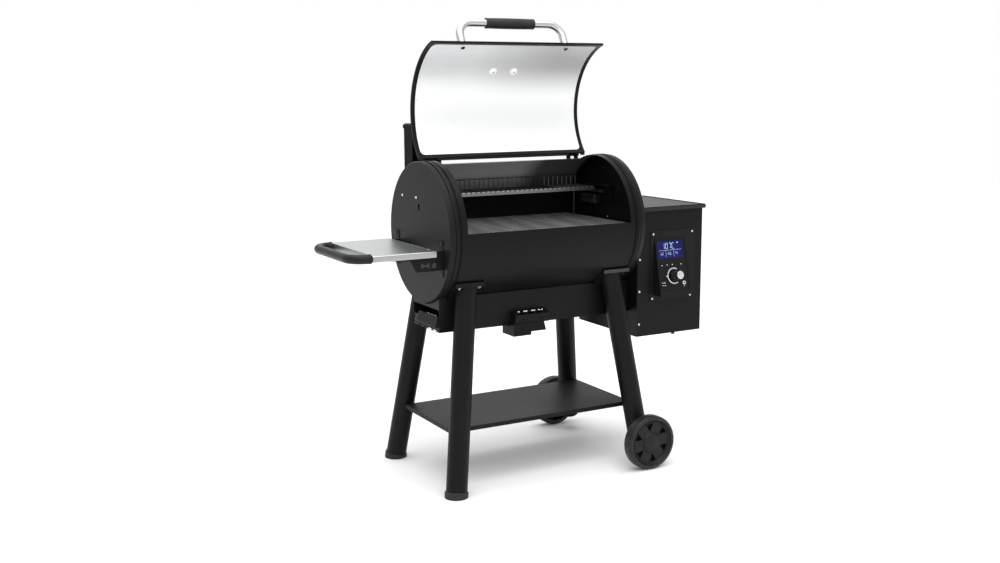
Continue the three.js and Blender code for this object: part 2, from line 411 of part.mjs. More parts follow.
// ---------------------------------------------------------------- control panel
const pd = [PAN_B[0] - PAN_T[0], PAN_B[1] - PAN_T[1]], pl = Math.hypot(...pd);
const down = [pd[0] / pl, pd[1] / pl], nor = [down[1], -down[0]]; // nor points out of the panel
const at = (v, n) => [PAN_T[0] + down[0] * v + nor[0] * n, PAN_T[1] + down[1] * v + nor[1] * n];
const slab = (x0, x1, v0, v1, n0, n1) => prismX([at(v0, n0), at(v1, n0), at(v1, n1), at(v0, n1)], x0, x1);
{
  const t = 2;
  let s = box(FL_X0, FL_X1, -199, -197, FL_Z0, FL_Z1);
  const wedgeOut = [[-198, 842.5], at(0, 0), at(pl, 0), [PAN_B[0], 622], [-198, 622]];
  const wedgeIn = [[-150, 838], [-199.5, 838], at(6, -3), at(pl - 6, -3), [PAN_B[0] + 4, 626], [-150, 626]];
  s = union(s, prismX(wedgeOut, PAN_X0, PAN_X1), cut(box(PAN_X0 + 3.4, PAN_X1_TOP - 1.2, -199, -150, PAN_B[1] + 3.4, PAN_T[1] - 3.4)));
  s = cut(s, prismX([[-152, 836], [-199, 836], at(8, -4), at(pl - 8, -4), [PAN_B[0] + 4, 632], [-152, 632]], PAN_X0 + 5.4, PAN_X1_TOP - 3.2),
    slab(487, 616, 8, 203, -6, 4));
  s = cut(s, prismY([[PAN_X1_TOP, 845], [PAN_X1 + 6, 845], [PAN_X1 + 6, 621], [PAN_X1, 621]], -260, -199.05)); // right side slants outwards going down
  add('control_housing', s, 'matte');
  let face = slab(487.4, 615.6, 8.4, 202.6, -3.6, -1.4);
  face = cut(face, slab(489, 603.4, 16.6, 82.4, -2.4, 2));
  for (const x of BUTTON_X) face = cut(face, rod([x, ...at(BUTTON_V, -8)], [x, ...at(BUTTON_V, 4)], 3.3, 12));
  face = cut(face, rod([KNOB_X, ...at(KNOB_V, -8)], [KNOB_X, ...at(KNOB_V, 4)], 4.0, 16));
  add('control_face', face, 'plastic');
  add('display_window', slab(489.4, 603, 17, 82, -2.1, -1.2), 'screen');
  BUTTON_X.forEach((x, i) => add('button_' + (i + 1), rod([x, ...at(BUTTON_V, -7)], [x, ...at(BUTTON_V, 0.4)], 3.0, 14), 'button'));
  const knob = union(rod([KNOB_X, ...at(KNOB_V, 0.4)], [KNOB_X, ...at(KNOB_V, 36)], 17.5, 24, 15.8),
    rod([KNOB_X, ...at(KNOB_V, 35.5)], [KNOB_X, ...at(KNOB_V, 40)], 15.2, 24), rod([KNOB_X, ...at(KNOB_V, -12)], [KNOB_X, ...at(KNOB_V, 2)], 3.5, 14));
  add('control_knob', knob, 'knob');
}

// saddle plate: flat, tangent to the barrel, carried on the leg
const pa = [193, 730.5], pb = [114.4, 658.1]; // the plate's upper and lower edge on the +Y side
const plateLen = Math.hypot(pb[0] - pa[0], pb[1] - pa[1]);
const plateDir = [(pb[0] - pa[0]) / plateLen, (pb[1] - pa[1]) / plateLen]; // down the plate
const plateOut = [-plateDir[1], plateDir[0]];                              // away from the barrel axis
const plateFoot = plateOut[0] * pa[0] + plateOut[1] * (pa[1] - ZC);
function saddlePoly(sy, d0, d1, s0, s1) {
  // d: distance from the barrel axis along the plate's normal; s: distance down the plate
  const q = (d, s) => [sy * (pa[0] + plateOut[0] * (d - plateFoot) + plateDir[0] * s),
    pa[1] + plateOut[1] * (d - plateFoot) + plateDir[1] * s];
  return [q(d0, s0), q(d0, s1), q(d1, s1), q(d1, s0)];
}

// ---------------------------------------------------------------- trough, grease tray, ash bin
const barrel = () => rod([-X_CAP - 5, 0, ZC], [X_CAP + 5, 0, ZC], 253.8, 72);
{
  const t = 1.8, x1 = HX0 - GAP;
  let s = box(TR_X0, x1, TR_Y0, TR_Y1, TR_LOW, 700);
  s = cut(s, box(TR_X0 - 5, x1 + 5, TR_Y0 + t, TR_Y1 - t, TR_Z0 + t, 705), box(TR_X0 + t, x1 - t, TR_Y0 + t, TR_Y1 - t, TR_LOW - 5, TR_Z0));
  s = cut(union(s, box(TR_X0, TR_X0 + t, TR_Y0, TR_Y1, 637, 700)), barrel());    // strip over the open left end
  for (const y of [-91, -51, -11, 29]) s = cut(s, box(TR_X0 - 5, TR_X0 + 5, y - 14, y + 14, TR_LOW + 1.6, TR_Z0 - 0.8)); // slots in the end lip
  s = cut(s, box(BIN_X0 - 8, BIN_X1 + 8, TR_Y0 - 1, TR_Y0 + t + 1, TR_LOW - 5, TR_Z0)); // notch for the ash bin
  s = cut(s, box(BIN_X0 + 5, BIN_X1 - 3, -118, -84, TR_Z0 - 3, TR_Z0 + 5),       // ash drop
    box(ASH_X0 + 8, ASH_X1 - 8, TR_Y0 - 3, TR_Y0 + 5, 570, 598));                // way into the cowl
  // rails that hold the ash bin
  s = union(s, box(BIN_X0 - 8, BIN_X0 - 6, -160, -78, 552, TR_Z0 + 0.5), box(BIN_X0 - 8, BIN_X0 - 2.5, -160, -78, 552, 553.5),
    box(BIN_X1 + 6, BIN_X1 + 8, -160, -78, 552, TR_Z0 + 0.5), box(BIN_X1 + 2.5, BIN_X1 + 8, -160, -78, 552, 553.5));
  s = cut(s, box(-140, 10, -170, TR_Y0, 540, 600));
  for (const x of [-SADDLE_X, SADDLE_X])                                         // room for the front saddles
    s = cut(s, prismX(saddlePoly(-1, 200, 255, -60, 140), x - SADDLE_W / 2 - 1, x + SADDLE_W / 2 + 1));
  add('trough', s, 'powder');
}
{
  const t = 1.6;
  // tray body and its sloped front
  let s = cut(box(-389, -210, TR_Y0 + 6, TR_Y1 - 6, 566, 596), box(-387.4, -211.6, TR_Y0 + 7.6, TR_Y1 - 7.6, 567.6, 600));
  s = union(s, prismY([[-388.5, 596], [-391.5, 614], [-394, 614], [-405, 578], [-403, 575.5], [-388.5, 575.5]], TR_Y0 + 2, 24));
  s = union(s, prismX([[20, 572], [73, 572], [26, 612], [20, 612]], -393.5, -388));
  s = cut(s, prismY([[-390.2, 594], [-392.6, 611.5], [-393.2, 611.5], [-402.6, 578.5], [-401, 577.5], [-390.2, 577.5]], TR_Y0 + 3.6, 22.4).subtract(box(-388.6, -380, -200, 100, 500, 700)));
  s = cut(s, box(-391, -386, TR_Y0 + 12, 18, 576, 590));
  add('grease_tray', s, 'powder');
}
{
  const t = 1.6;
  let s = cut(prismX([[TR_Y0 - GAP, 564.5], [TR_Y0 - GAP, 609], [-150, 606], [-168, 596], [-168, 564.5]], ASH_X0, ASH_X1),
    prismX([[TR_Y0 + 5, 540], [TR_Y0 + 5, 607], [-149.4, 604], [-166.4, 594.8], [-166.4, 564.5], [-160, 540]], ASH_X0 + t, ASH_X1 - t));
  for (const x of [-84, -48, -12]) s = cut(s, box(x, x + 22, -163, -154, 590, 615));
  for (const x of [-72, 2]) s = cut(s, rod([x, -175, 580], [x, -160, 580], 3, 10));
  add('ash_cowl', s, 'powder');
}
{
  let s = cut(box(BIN_X0, BIN_X1, -166, -80, 519, 561), box(BIN_X0 + 1.5, BIN_X1 - 1.5, -164.5, -81.5, 520.5, 565));
  s = cut(s, prismX([[-168, 517], [-168, 522], [-161, 517]], BIN_X0 - 7, BIN_X1 + 7));
  s = union(s, box(BIN_X0 - 5.5, BIN_X0 + 1.5, -128, -80, 559.5, 561), box(BIN_X1 - 1.5, BIN_X1 + 5.5, -128, -80, 559.5, 561));
  s = union(s, prismX([[-169.6, 567], [-171.8, 567], [-186, 538], [-184, 536.5], [-165, 536.5], [-165, 539], [-183, 539.6]], BIN_X0 - 4, 12).add(box(BIN_X0 - 2, BIN_X1 + 1, -170.4, -164.6, 540, 560)));
  add('ash_bin', s, 'powder');
}

// ---------------------------------------------------------------- stand
const legPoint = (sx, sy, z) => [sx * (FOOT[0] - SPLAY[0] * z), sy * (FOOT[1] - SPLAY[1] * z), z];
for (const [tag, sx, sy] of [['front_left', -1, -1], ['rear_left', -1, 1], ['front_right', 1, -1], ['rear_right', 1, 1]]) {
  const x0 = sx * SADDLE_X - SADDLE_W / 2, x1 = sx * SADDLE_X + SADDLE_W / 2;
  let bracket = union(prismX(saddlePoly(sy, 251.6, 254.6, -1, 107), x0, x1),
    box(x0 + 3, x1 + 3, Math.min(sy * 192.5, sy * 202), Math.max(sy * 192.5, sy * 202), 723.5, 737.5));
  bracket = cut(bracket, rod([-X_CAP, 0, ZC], [X_CAP, 0, ZC], R + 0.4, 72),
    rod([sx * SADDLE_X, sy * 100, 620], [sx * SADDLE_X, sy * 160, 700], 7, 12));
  add('saddle_' + tag, bracket, 'powder');
  const b = sx < 0 ? 14 : 62, lp = legPoint(sx, sy, b), lt = legPoint(sx, sy, 790);
  let leg = cut(rod(lp, lt, LEG_R, 24), rod(legPoint(sx, sy, b - 30), legPoint(sx, sy, 820), LEG_R - LEG_T, 24));
  leg = cut(leg, prismX(saddlePoly(sy, 100, 254.9, -150, 260), x0 - 80, x1 + 80), box(x0 - 80, x1 + 80, -400, 400, 723.2, 900));
  if (sx > 0) leg = cut(leg, rod([WHEEL_X, sy * 200, WHEEL_R], [WHEEL_X, sy * 300, WHEEL_R], 8.3, 12));
  add('leg_' + tag, leg, 'powder');
  if (sx < 0) {
    const dir = new THREE.Vector3(...legPoint(sx, sy, 100)).sub(new THREE.Vector3(...legPoint(sx, sy, 0))).normalize();
    const p = (s) => new THREE.Vector3(...legPoint(sx, sy, 0)).addScaledVector(dir, s).toArray();
    let cap = rod(p(-20), p(26), 42, 24);
    cap = cut(cap, rod(p(13.6), p(60), LEG_R + 0.4, 24), box(-600, 600, -600, 600, -60, 0));
    add('foot_' + tag, cap, 'rubber');
  } else {
    // wheel, turning on a fixed stub axle
    const yo = sy * (WHEEL_Y + WHEEL_W / 2), yi = sy * (WHEEL_Y - WHEEL_W / 2), s = sy; // outer and inner faces
    const o = (d) => yo - s * d; // d measured inwards from the outer face
    let prof = [[8.4, o(8)], [24, o(8)], [27, o(13)], [80, o(13)], [85, o(0.6)], [96, o(4)], [WHEEL_R, o(15)],
      [WHEEL_R, o(33)], [97, o(45)], [86, o(48)], [80, o(19)], [24, o(19)], [24, o(47)], [8.4, o(47)]];
    prof.push(prof[0]);
    let g = new THREE.LatheGeometry(prof.map(([r, y]) => new THREE.Vector2(r, y)), 32);
    let wheel = solid(g);
    if (wheel.volume() < 0) { g = new THREE.LatheGeometry(prof.reverse().map(([r, y]) => new THREE.Vector2(r, y)), 32); wheel = solid(g); }
    for (let i = 0; i < 6; i++) {
      const a = i * Math.PI / 3 + 0.925;
      const tri = shapeOf([[48, -4], [72, -15], [72, 15], [48, 4]]);
      const m = new THREE.Matrix4().makeBasis(new THREE.Vector3(0, 0, 1), new THREE.Vector3(1, 0, 0), new THREE.Vector3(0, 1, 0));
      wheel = cut(wheel, solid(extrude(tri, 60).applyMatrix4(m).translate(0, o(24) - 30, 0).rotateY(a)));
    }
    add('wheel_' + (sy < 0 ? 'front' : 'rear'), moved(wheel, new THREE.Matrix4().makeTranslation(WHEEL_X, 0, WHEEL_R)), 'rubber');
    const Y = (d) => s * d; // stub axle: head, journal, collar, end in the leg
    let ap = [[0, Y(WHEEL_Y + 26)], [12, Y(WHEEL_Y + 25)], [20, Y(WHEEL_Y + 22)], [24, Y(WHEEL_Y + 17)], [24, Y(WHEEL_Y + 16.4)], [8, Y(WHEEL_Y + 16.4)], [8, Y(WHEEL_Y - 23.5)],
      [14, Y(WHEEL_Y - 23.5)], [14, Y(286)], [8, Y(286)], [8, Y(212)], [0, Y(212)]];
    let ax = solid(new THREE.LatheGeometry(ap.map(([r, y]) => new THREE.Vector2(r, y)), 14));
    if (ax.volume() < 0) ax = solid(new THREE.LatheGeometry(ap.reverse().map(([r, y]) => new THREE.Vector2(r, y)), 14));
    add('axle_' + (sy < 0 ? 'front' : 'rear'), moved(ax, new THREE.Matrix4().makeTranslation(WHEEL_X, 0, WHEEL_R)), 'plastic');
  }
}
{
  let s = cut(box(-SHELF_X, SHELF_X, -SHELF_Y, SHELF_Y, SHELF_Z - 16, SHELF_Z), box(-SHELF_X + 1.5, SHELF_X - 1.5, -SHELF_Y + 1.5, SHELF_Y - 1.5, SHELF_Z - 20, SHELF_Z - 1.5));
  for (const sx of [-1, 1]) for (const sy of [-1, 1]) s = cut(s, rod(legPoint(sx, sy, 100), legPoint(sx, sy, 400), LEG_R + 0.4, 28));
  add('bottom_shelf', s, 'powder');
}

// ---------------------------------------------------------------- side shelf
{
  const prof = [], inner = [], r = 7, t = 1.5;
  const corner = (cy, cz, rr, a0, a1, list) => { for (let i = 0; i <= 4; i++) { const a = a0 + (a1 - a0) * i / 4; list.push([cy + rr * cosd(a), cz + rr * sind(a)]); } };
  prof.push([SS_Y, SS_Z - SS_LIP]); corner(SS_Y - r, SS_Z - r, r, 0, 90, prof); corner(-SS_Y + r, SS_Z - r, r, 90, 180, prof); prof.push([-SS_Y, SS_Z - SS_LIP]);
  inner.push([SS_Y - t, SS_Z - SS_LIP - 3]); corner(SS_Y - r, SS_Z - r, r - t, 0, 90, inner); corner(-SS_Y + r, SS_Z - r, r - t, 90, 180, inner); inner.push([-SS_Y + t, SS_Z - SS_LIP - 3]);
  let s = cut(prismX(prof, SS_X0, SS_X1), prismX(inner, SS_X0 + t, SS_X1 + 5));
  for (let i = 0; i < 8; i++) { const y = -150 + i * 43; s = cut(s, box(SS_X1 - 9, SS_X1 - 5, y - 11, y + 11, SS_Z - 4, SS_Z + 2)); }
  for (const y of [-SH_Y, SH_Y]) s = cut(s, rod([SS_X0 - 5, y, 846], [SS_X0 + 5, y, 846], 6, 12));
  add('side_shelf', s, 'steel');

  const z = 846, x = SS_X0 - GAP;
  let bar = bentBar([[x, -SH_Y, z], [SH_X, -SH_Y, z], [SH_X, SH_Y, z], [x, SH_Y, z]], SH_BEND, SH_R, 14, 24);
  for (const y of [-SH_Y, SH_Y]) bar = union(bar, rod([x - 6, y, z], [SS_X0 + 10, y, z], 5.6, 12));
  bar = cut(bar, box(SS_X0 - GAP, SS_X0 + 3, -250, 250, 800, 900).subtract(union(rod([x - 6, -SH_Y, z], [SS_X0 + 10, -SH_Y, z], 5.6, 12), rod([x - 6, SH_Y, z], [SS_X0 + 10, SH_Y, z], 5.6, 12))));
  add('shelf_handle', bar, 'plastic');

  for (const [name, y0, hook] of [['shelf_bracket_front', -194, true], ['shelf_bracket_rear', 172, false]]) {
    const web = prismY([[-401.3, 789], [-401.3, 856], [-642, 856], [-642, 838], [-525, 829], [-505, 789]], y0, y0 + 2);
    let b = union(web, box(-403.6, -401.3, y0, y0 + 28, 764, 891), box(-642, -434, y0, y0 + 14, 853.8, 856));
    if (hook) b = cut(b, rod([-437, y0 - 5, 808], [-437, y0 + 5, 808], 9, 16), prismY([[-486, 800], [-486, 820], [-470, 811], [-454, 820], [-454, 800], [-470, 806]], y0 - 5, y0 + 5));
    else b = cut(b, rod([-437, y0 - 5, 808], [-437, y0 + 5, 808], 9, 16));
    for (const z2 of [775, 880]) b = cut(b, rod([-410, y0 + 16, z2], [-395, y0 + 16, z2], 3.6, 12));
    add(name, b, 'powder');
  }
}

// ---------------------------------------------------------------- chimney
{
  const t = 1.8, c = CH;
  let s = cut(box(c.x0, c.x1, c.y0, c.y1, c.z0, c.z1), box(c.x0 + t, c.x1 - t, c.y0 + t, c.y1 - t, c.z0 + t, c.z1 + 5));
  const collar = cut(box(-289, -196, 200, c.y0 + 1, 838, 906), box(-287, -198, 190, c.y0 + 5, 840, 904), rod([-X_CAP, 0, ZC], [X_CAP, 0, ZC], R + GAP, 72));
  s = cut(s, box(-287, -198, c.y0 - 3, c.y0 + 4, 852, 904));
  s = union(s, cut(collar, box(-400, 0, 190, 236, 700, 1000)));
  for (let i = 0; i < 4; i++) s = cut(s, box(c.x0 + 20, c.x1 - 20, c.y1 - 5, c.y1 + 5, 1186 + i * 18, 1194 + i * 18));
  s = union(s);
  add('chimney', s, 'powder');
  const cap = cut(frustum([c.x0 - 3, c.x1 + 3, c.y0 - 3, c.y1 + 3], c.z1 - 9, [c.x0 - 3, c.x1 + 3, c.y0 - 3, c.y1 + 3], c.z1 + 3)
    .add(frustum([c.x0 - 3, c.x1 + 3, c.y0 - 3, c.y1 + 3], c.z1 + 3, [c.x0 + 4, c.x1 - 4, c.y0 + 4, c.y1 - 4], c.z1 + 9)),
  box(c.x0 - GAP, c.x1 + GAP, c.y0 - GAP, c.y1 + GAP, c.z1 - 20, c.z1 + GAP),
  box(c.x0 + 8, c.x1 - 8, c.y0 + 8, c.y1 - 8, c.z1 - 5, c.z1 + 6));
  add('chimney_cap', cap, 'powder');
}

export default root;
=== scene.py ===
"""Pellet smoker grill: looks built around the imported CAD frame. Metres, +Z up, -Y towards the front."""

import json
import math

import bmesh
import bpy
from mathutils import Matrix, Vector


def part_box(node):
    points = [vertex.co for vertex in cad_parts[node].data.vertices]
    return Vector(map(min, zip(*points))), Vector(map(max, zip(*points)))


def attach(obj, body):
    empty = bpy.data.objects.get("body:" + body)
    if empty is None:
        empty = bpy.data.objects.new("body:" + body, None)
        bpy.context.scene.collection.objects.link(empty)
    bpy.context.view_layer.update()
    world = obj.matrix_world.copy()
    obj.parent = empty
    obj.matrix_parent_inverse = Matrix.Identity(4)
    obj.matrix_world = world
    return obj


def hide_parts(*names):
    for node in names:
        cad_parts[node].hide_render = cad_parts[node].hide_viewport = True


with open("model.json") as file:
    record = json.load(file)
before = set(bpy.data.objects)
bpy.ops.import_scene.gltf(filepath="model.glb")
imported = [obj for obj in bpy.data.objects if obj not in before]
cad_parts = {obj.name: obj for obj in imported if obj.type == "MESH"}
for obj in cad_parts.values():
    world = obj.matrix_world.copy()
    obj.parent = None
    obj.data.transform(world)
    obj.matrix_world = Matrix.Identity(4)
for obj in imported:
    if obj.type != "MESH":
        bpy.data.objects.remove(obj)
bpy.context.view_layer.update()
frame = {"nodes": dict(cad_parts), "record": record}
RECORD = frame["record"]
BODY_OF = {n: b for b, ns in RECORD["behaviour"]["bodies"].items() for n in ns}
SLOT_OF = {s["node"]: s["material_slot"] for s in RECORD["subparts"]}

# ---------------------------------------------------------------- sizes read from the frame
SX = (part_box("end_cap_left")[0].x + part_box("end_cap_right")[1].x) / 2 * 1000  # middle of the barrel, mm
ZC = (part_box("end_cap_left")[0].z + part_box("end_cap_left")[1].z) / 2 * 1000  # barrel axis height, mm
X_CAP = (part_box("end_cap_right")[1].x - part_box("end_cap_left")[0].x) / 2 * 1000
PIN = (104.0, 1144.0)  # lid hinge pin: y, z
LID_OPEN = 106.7
PAN_T, PAN_B = (-199.0, 842.0), (-246.0, 626.0)  # top and bottom edge of the control panel: y, z


def rad(a):
    return a * math.pi / 180


def polar(r, a):
    return (r * math.cos(rad(a)), ZC + r * math.sin(rad(a)))


def lid_point(r, a):
    """y, z of a point on the open lid, from its polar place on the closed one."""
    y, z = r * math.cos(rad(a)) - PIN[0], ZC + r * math.sin(rad(a)) - PIN[1]
    c, s = math.cos(rad(-LID_OPEN)), math.sin(rad(-LID_OPEN))
    return (PIN[0] + y * c - z * s, PIN[1] + y * s + z * c)


_l = math.hypot(PAN_B[0] - PAN_T[0], PAN_B[1] - PAN_T[1])
DOWN = ((PAN_B[0] - PAN_T[0]) / _l, (PAN_B[1] - PAN_T[1]) / _l)
NOR = (DOWN[1], -DOWN[0])


def panel(x, v, n):
    """A point on the control panel: x, distance down it, height above it."""
    return (x, PAN_T[0] + DOWN[0] * v + NOR[0] * n, PAN_T[1] + DOWN[1] * v + NOR[1] * n)


PANEL_N = Vector((0, NOR[0], NOR[1]))


# ---------------------------------------------------------------- materials
class Mat:
    def __init__(self, name):
        self.m = bpy.data.materials.new(name)
        self.m.use_nodes = True
        self.nt = self.m.node_tree
        self.nt.nodes.clear()
        self.out = self.nt.nodes.new("ShaderNodeOutputMaterial")
        self.b = self.nt.nodes.new("ShaderNodeBsdfPrincipled")
        self.nt.links.new(self.b.outputs[0], self.out.inputs[0])
        self.co = self.nt.nodes.new("ShaderNodeTexCoord").outputs["Object"]
        self.height = None

    def set(self, **kw):
        for k, v in kw.items():
            s = self.b.inputs[k.replace("_", " ")]
            if hasattr(v, "is_linked") or isinstance(v, bpy.types.NodeSocket):
                self.nt.links.new(v, s)
            else:
                s.default_value = v
        return self

    def link(self, a, b):
        self.nt.links.new(a, b)

    def mapped(self, scale):
        n = self.nt.nodes.new("ShaderNodeMapping")
        n.inputs["Scale"].default_value = scale
        self.link(self.co, n.inputs["Vector"])
        return n.outputs[0]

    def noise(self, scale, detail=2.0, rough=0.5, stretch=None, distortion=0.0):
        n = self.nt.nodes.new("ShaderNodeTexNoise")
        n.inputs["Scale"].default_value = scale
        n.inputs["Detail"].default_value = detail
        n.inputs["Roughness"].default_value = rough
        n.inputs["Distortion"].default_value = distortion
        self.link(self.mapped(stretch) if stretch else self.co, n.inputs["Vector"])
        return n.outputs["Fac"]

    def voronoi(self, scale, feature="F1", out="Distance"):
        n = self.nt.nodes.new("ShaderNodeTexVoronoi")
        n.feature = feature
        n.inputs["Scale"].default_value = scale
        self.link(self.co, n.inputs["Vector"])
        return n.outputs[out]

    def remap(self, v, a, b, c, d, clamp=True):
        n = self.nt.nodes.new("ShaderNodeMapRange")
        n.clamp = clamp
        for i, x in zip(("From Min", "From Max", "To Min", "To Max"), (a, b, c, d)):
            n.inputs[i].default_value = x
        self.link(v, n.inputs["Value"])
        return n.outputs[0]

    def math(self, op, a, b=None, c=None):
        n = self.nt.nodes.new("ShaderNodeMath")
        n.operation = op
        for i, x in enumerate((a, b, c)):
            if x is None:
                continue
            if isinstance(x, bpy.types.NodeSocket):
                self.link(x, n.inputs[i])
            else:
                n.inputs[i].default_value = x
        return n.outputs[0]

    def mix(self, fac, a, b):
        n = self.nt.nodes.new("ShaderNodeMix")
        n.data_type = "RGBA"
        for key, x in ((0, fac), (6, a), (7, b)):
            if isinstance(x, bpy.types.NodeSocket):
                self.link(x, n.inputs[key])
            elif key == 0:
                n.inputs[0].default_value = x
            else:
                n.inputs[key].default_value = (*x, 1.0)
        return n.outputs[2]

    def bump(self, v, strength, distance):
        n = self.nt.nodes.new("ShaderNodeBump")
        n.inputs["Strength"].default_value = strength
        n.inputs["Distance"].default_value = distance
        self.link(v, n.inputs["Height"])
        if self.height is not None:
            self.link(self.height, n.inputs["Normal"])
        self.height = n.outputs[0]
        self.link(self.height, self.b.inputs["Normal"])
        return self

    def up(self):
        g = self.nt.nodes.new("ShaderNodeNewGeometry")
        s = self.nt.nodes.new("ShaderNodeSeparateXYZ")
        self.link(g.outputs["Normal"], s.inputs[0])
        return s.outputs[2]

    def edge(self, radius, lo=0.02, hi=0.25):
        """1 along worn edges, 0 on flats."""
        bv = self.nt.nodes.new("ShaderNodeBevel")
        bv.samples = 3
        bv.inputs["Radius"].default_value = radius
        g = self.nt.nodes.new("ShaderNodeNewGeometry")
        d = self.nt.nodes.new("ShaderNodeVectorMath")
        d.operation = "DOT_PRODUCT"
        self.link(bv.outputs[0], d.inputs[0])
        self.link(g.outputs["Normal"], d.inputs[1])
        return self.remap(self.math("SUBTRACT", 1.0, d.outputs["Value"]), lo, hi, 0.0, 1.0)


def powder(name, base, rough, peel=0.05, spec=0.3, dust=0.5, grain=850.0):
    """Powder coat: fine orange peel, soft cloudy sheen, a trace of dust on faces that look up."""
    m = Mat(name)
    cloud = m.noise(3.1, 4.0, 0.6)
    fine = m.noise(52.0, 5.0, 0.7)
    lo, hi = [c * 0.82 for c in base], [c * 1.22 for c in base]
    col = m.mix(m.remap(cloud, 0.3, 0.7, 0, 1), lo, hi)
    speck = m.remap(m.noise(310.0, 2.0, 0.5), 0.68, 0.80, 0.0, 1.0)
    up = m.remap(m.up(), 0.35, 1.0, 0.0, 1.0)
    col = m.mix(m.math("MULTIPLY", m.math("MULTIPLY", speck, up), 0.30 * dust), col, (0.16, 0.155, 0.148))
    col = m.mix(m.math("MULTIPLY", m.math("MULTIPLY", m.remap(fine, 0.4, 0.75, 0, 1), up), 0.05 * dust), col, (0.20, 0.195, 0.185))
    m.set(Base_Color=col, Metallic=0.0)
    m.b.inputs["Specular IOR Level"].default_value = spec
    r = m.math("ADD", m.remap(cloud, 0.25, 0.75, rough - 0.035, rough + 0.035), m.remap(fine, 0.3, 0.7, -0.02, 0.03))
    m.set(Roughness=r)
    m.bump(m.noise(grain, 2.0, 0.5), peel, 0.0004)
    m.bump(m.noise(7.0, 1.0, 0.4), 0.03, 0.004)
    return m.m


def steel(name, base, rough, along, metal=1.0, line=0.30, wave=0.02, smudge=0.05, fine=1300.0, streak=1.0, painted_shade_gradient=False):
    """Brushed stainless: long fine lines along one axis, faint waves in the sheet, finger smudges."""
    m = Mat(name)
    st = [fine, fine, fine]
    st["xyz".index(along)] = fine / 90.0
    lines = m.noise(1.0, 3.0, 0.65, stretch=st)
    st2 = [s / 5 for s in st]
    coarse = m.noise(1.0, 2.0, 0.5, stretch=st2)
    cloud = m.noise(5.0, 3.0, 0.6)
    lo, hi = [c * (1 - 0.10 * streak) for c in base], [min(1, c * (1 + 0.06 * streak)) for c in base]
    col = m.mix(m.remap(m.math("ADD", lines, coarse), 0.7, 1.3, 0, 1), lo, hi)
    if painted_shade_gradient:  # painted shade: a darker grey that grows towards the free edge and to the right, standing in for the liner's reflection falling off
        t = m.nt.nodes.new("ShaderNodeSeparateXYZ")
        m.link(m.co, t.inputs[0])
        up = m.remap(t.outputs[2], 1.365, 1.475, 0.0, 1.0)
        side = m.remap(t.outputs[0], -0.12, 0.36, 0.0, 0.85)
        col = m.mix(m.math("MULTIPLY", up, side), col, (0.40, 0.40, 0.405))
    m.set(Base_Color=col, Metallic=metal)
    r = m.math("ADD", m.remap(lines, 0.3, 0.7, rough - 0.05 * streak, rough + 0.07 * streak), m.remap(cloud, 0.45, 0.75, 0.0, smudge))
    m.set(Roughness=r)
    m.bump(lines, line * 0.25, 0.0002)
    m.bump(m.noise(2.6, 1.0, 0.4), wave, 0.02)
    return m.m


def galvanised(name):
    m = Mat(name)
    cell = m.nt.nodes.new("ShaderNodeTexVoronoi")
    cell.inputs["Scale"].default_value = 95.0
    m.link(m.co, cell.inputs["Vector"])
    s = m.nt.nodes.new("ShaderNodeSeparateColor")
    m.link(cell.outputs["Color"], s.inputs[0])
    v = s.outputs[0]
    m.set(Base_Color=m.mix(v, (0.36, 0.37, 0.38), (0.52, 0.53, 0.545)), Metallic=0.85)
    m.set(Roughness=m.remap(v, 0, 1, 0.34, 0.52))
    m.bump(m.noise(300.0, 3.0, 0.6), 0.05, 0.0004)
    return m.m


def iron(name, base, rough, heat=0.0, diagonal_painted_shade=0.0):
    """Cast or enamelled iron, grainy, a little greyer where it is rubbed."""
    m = Mat(name)
    grain = m.noise(700.0, 4.0, 0.65)
    cloud = m.noise(11.0, 4.0, 0.65)
    k_ = 0.25 if diagonal_painted_shade else 1.0
    lo, hi = [c * (1 - 0.3 * k_) for c in base], [c * (1 + 0.35 * k_) for c in base]
    col = m.mix(m.remap(cloud, 0.3, 0.7, 0, 1), lo, hi)
    # painted shade: dark diagonal stripes across the grate stand in for the shade and highlight pattern across its bars
    if diagonal_painted_shade:
        t = m.nt.nodes.new("ShaderNodeSeparateXYZ")
        m.link(m.co, t.inputs[0])
        c = m.math("ADD", m.math("MULTIPLY", t.outputs[0], -0.643), m.math("MULTIPLY", t.outputs[1], 0.766))
        w_ = m.math("SINE", m.math("MULTIPLY", c, 2 * math.pi / 0.0147))
        col = m.mix(m.math("MULTIPLY", m.remap(w_, -0.2, 0.7, 0.0, 1.0), diagonal_painted_shade), col, (0.012, 0.012, 0.012))
    if heat:
        col = m.mix(m.math("MULTIPLY", m.remap(m.noise(6.0, 3.0, 0.7), 0.5, 0.7, 0, 1), heat), col, (0.10, 0.055, 0.03))
    m.set(Base_Color=col, Metallic=0.0)
    m.b.inputs["Specular IOR Level"].default_value = 0.4
    m.set(Roughness=m.remap(cloud, 0.3, 0.7, rough - 0.06, rough + 0.08))
    m.bump(grain, 0.22, 0.0006)
    return m.m


def plastic(name, base, rough, grain=0.10, scale=1600.0, spec=0.35, coat=0.0):
    """Moulded plastic or rubber with a fine stipple."""
    m = Mat(name)
    cloud = m.noise(24.0, 4.0, 0.6)
    lo, hi = [c * 0.85 for c in base], [c * 1.2 for c in base]
    m.set(Base_Color=m.mix(m.remap(cloud, 0.3, 0.7, 0, 1), lo, hi))
    m.b.inputs["Specular IOR Level"].default_value = spec
    m.set(Roughness=m.remap(m.noise(60.0, 4.0, 0.7), 0.3, 0.7, rough - 0.05, rough + 0.06))
    if coat:
        m.b.inputs["Coat Weight"].default_value = coat
        m.b.inputs["Coat Roughness"].default_value = 0.06
    m.bump(m.noise(scale, 2.0, 0.5), grain, 0.0003)
    m.bump(m.voronoi(scale * 0.55), grain * 0.5, 0.0002)
    return m.m


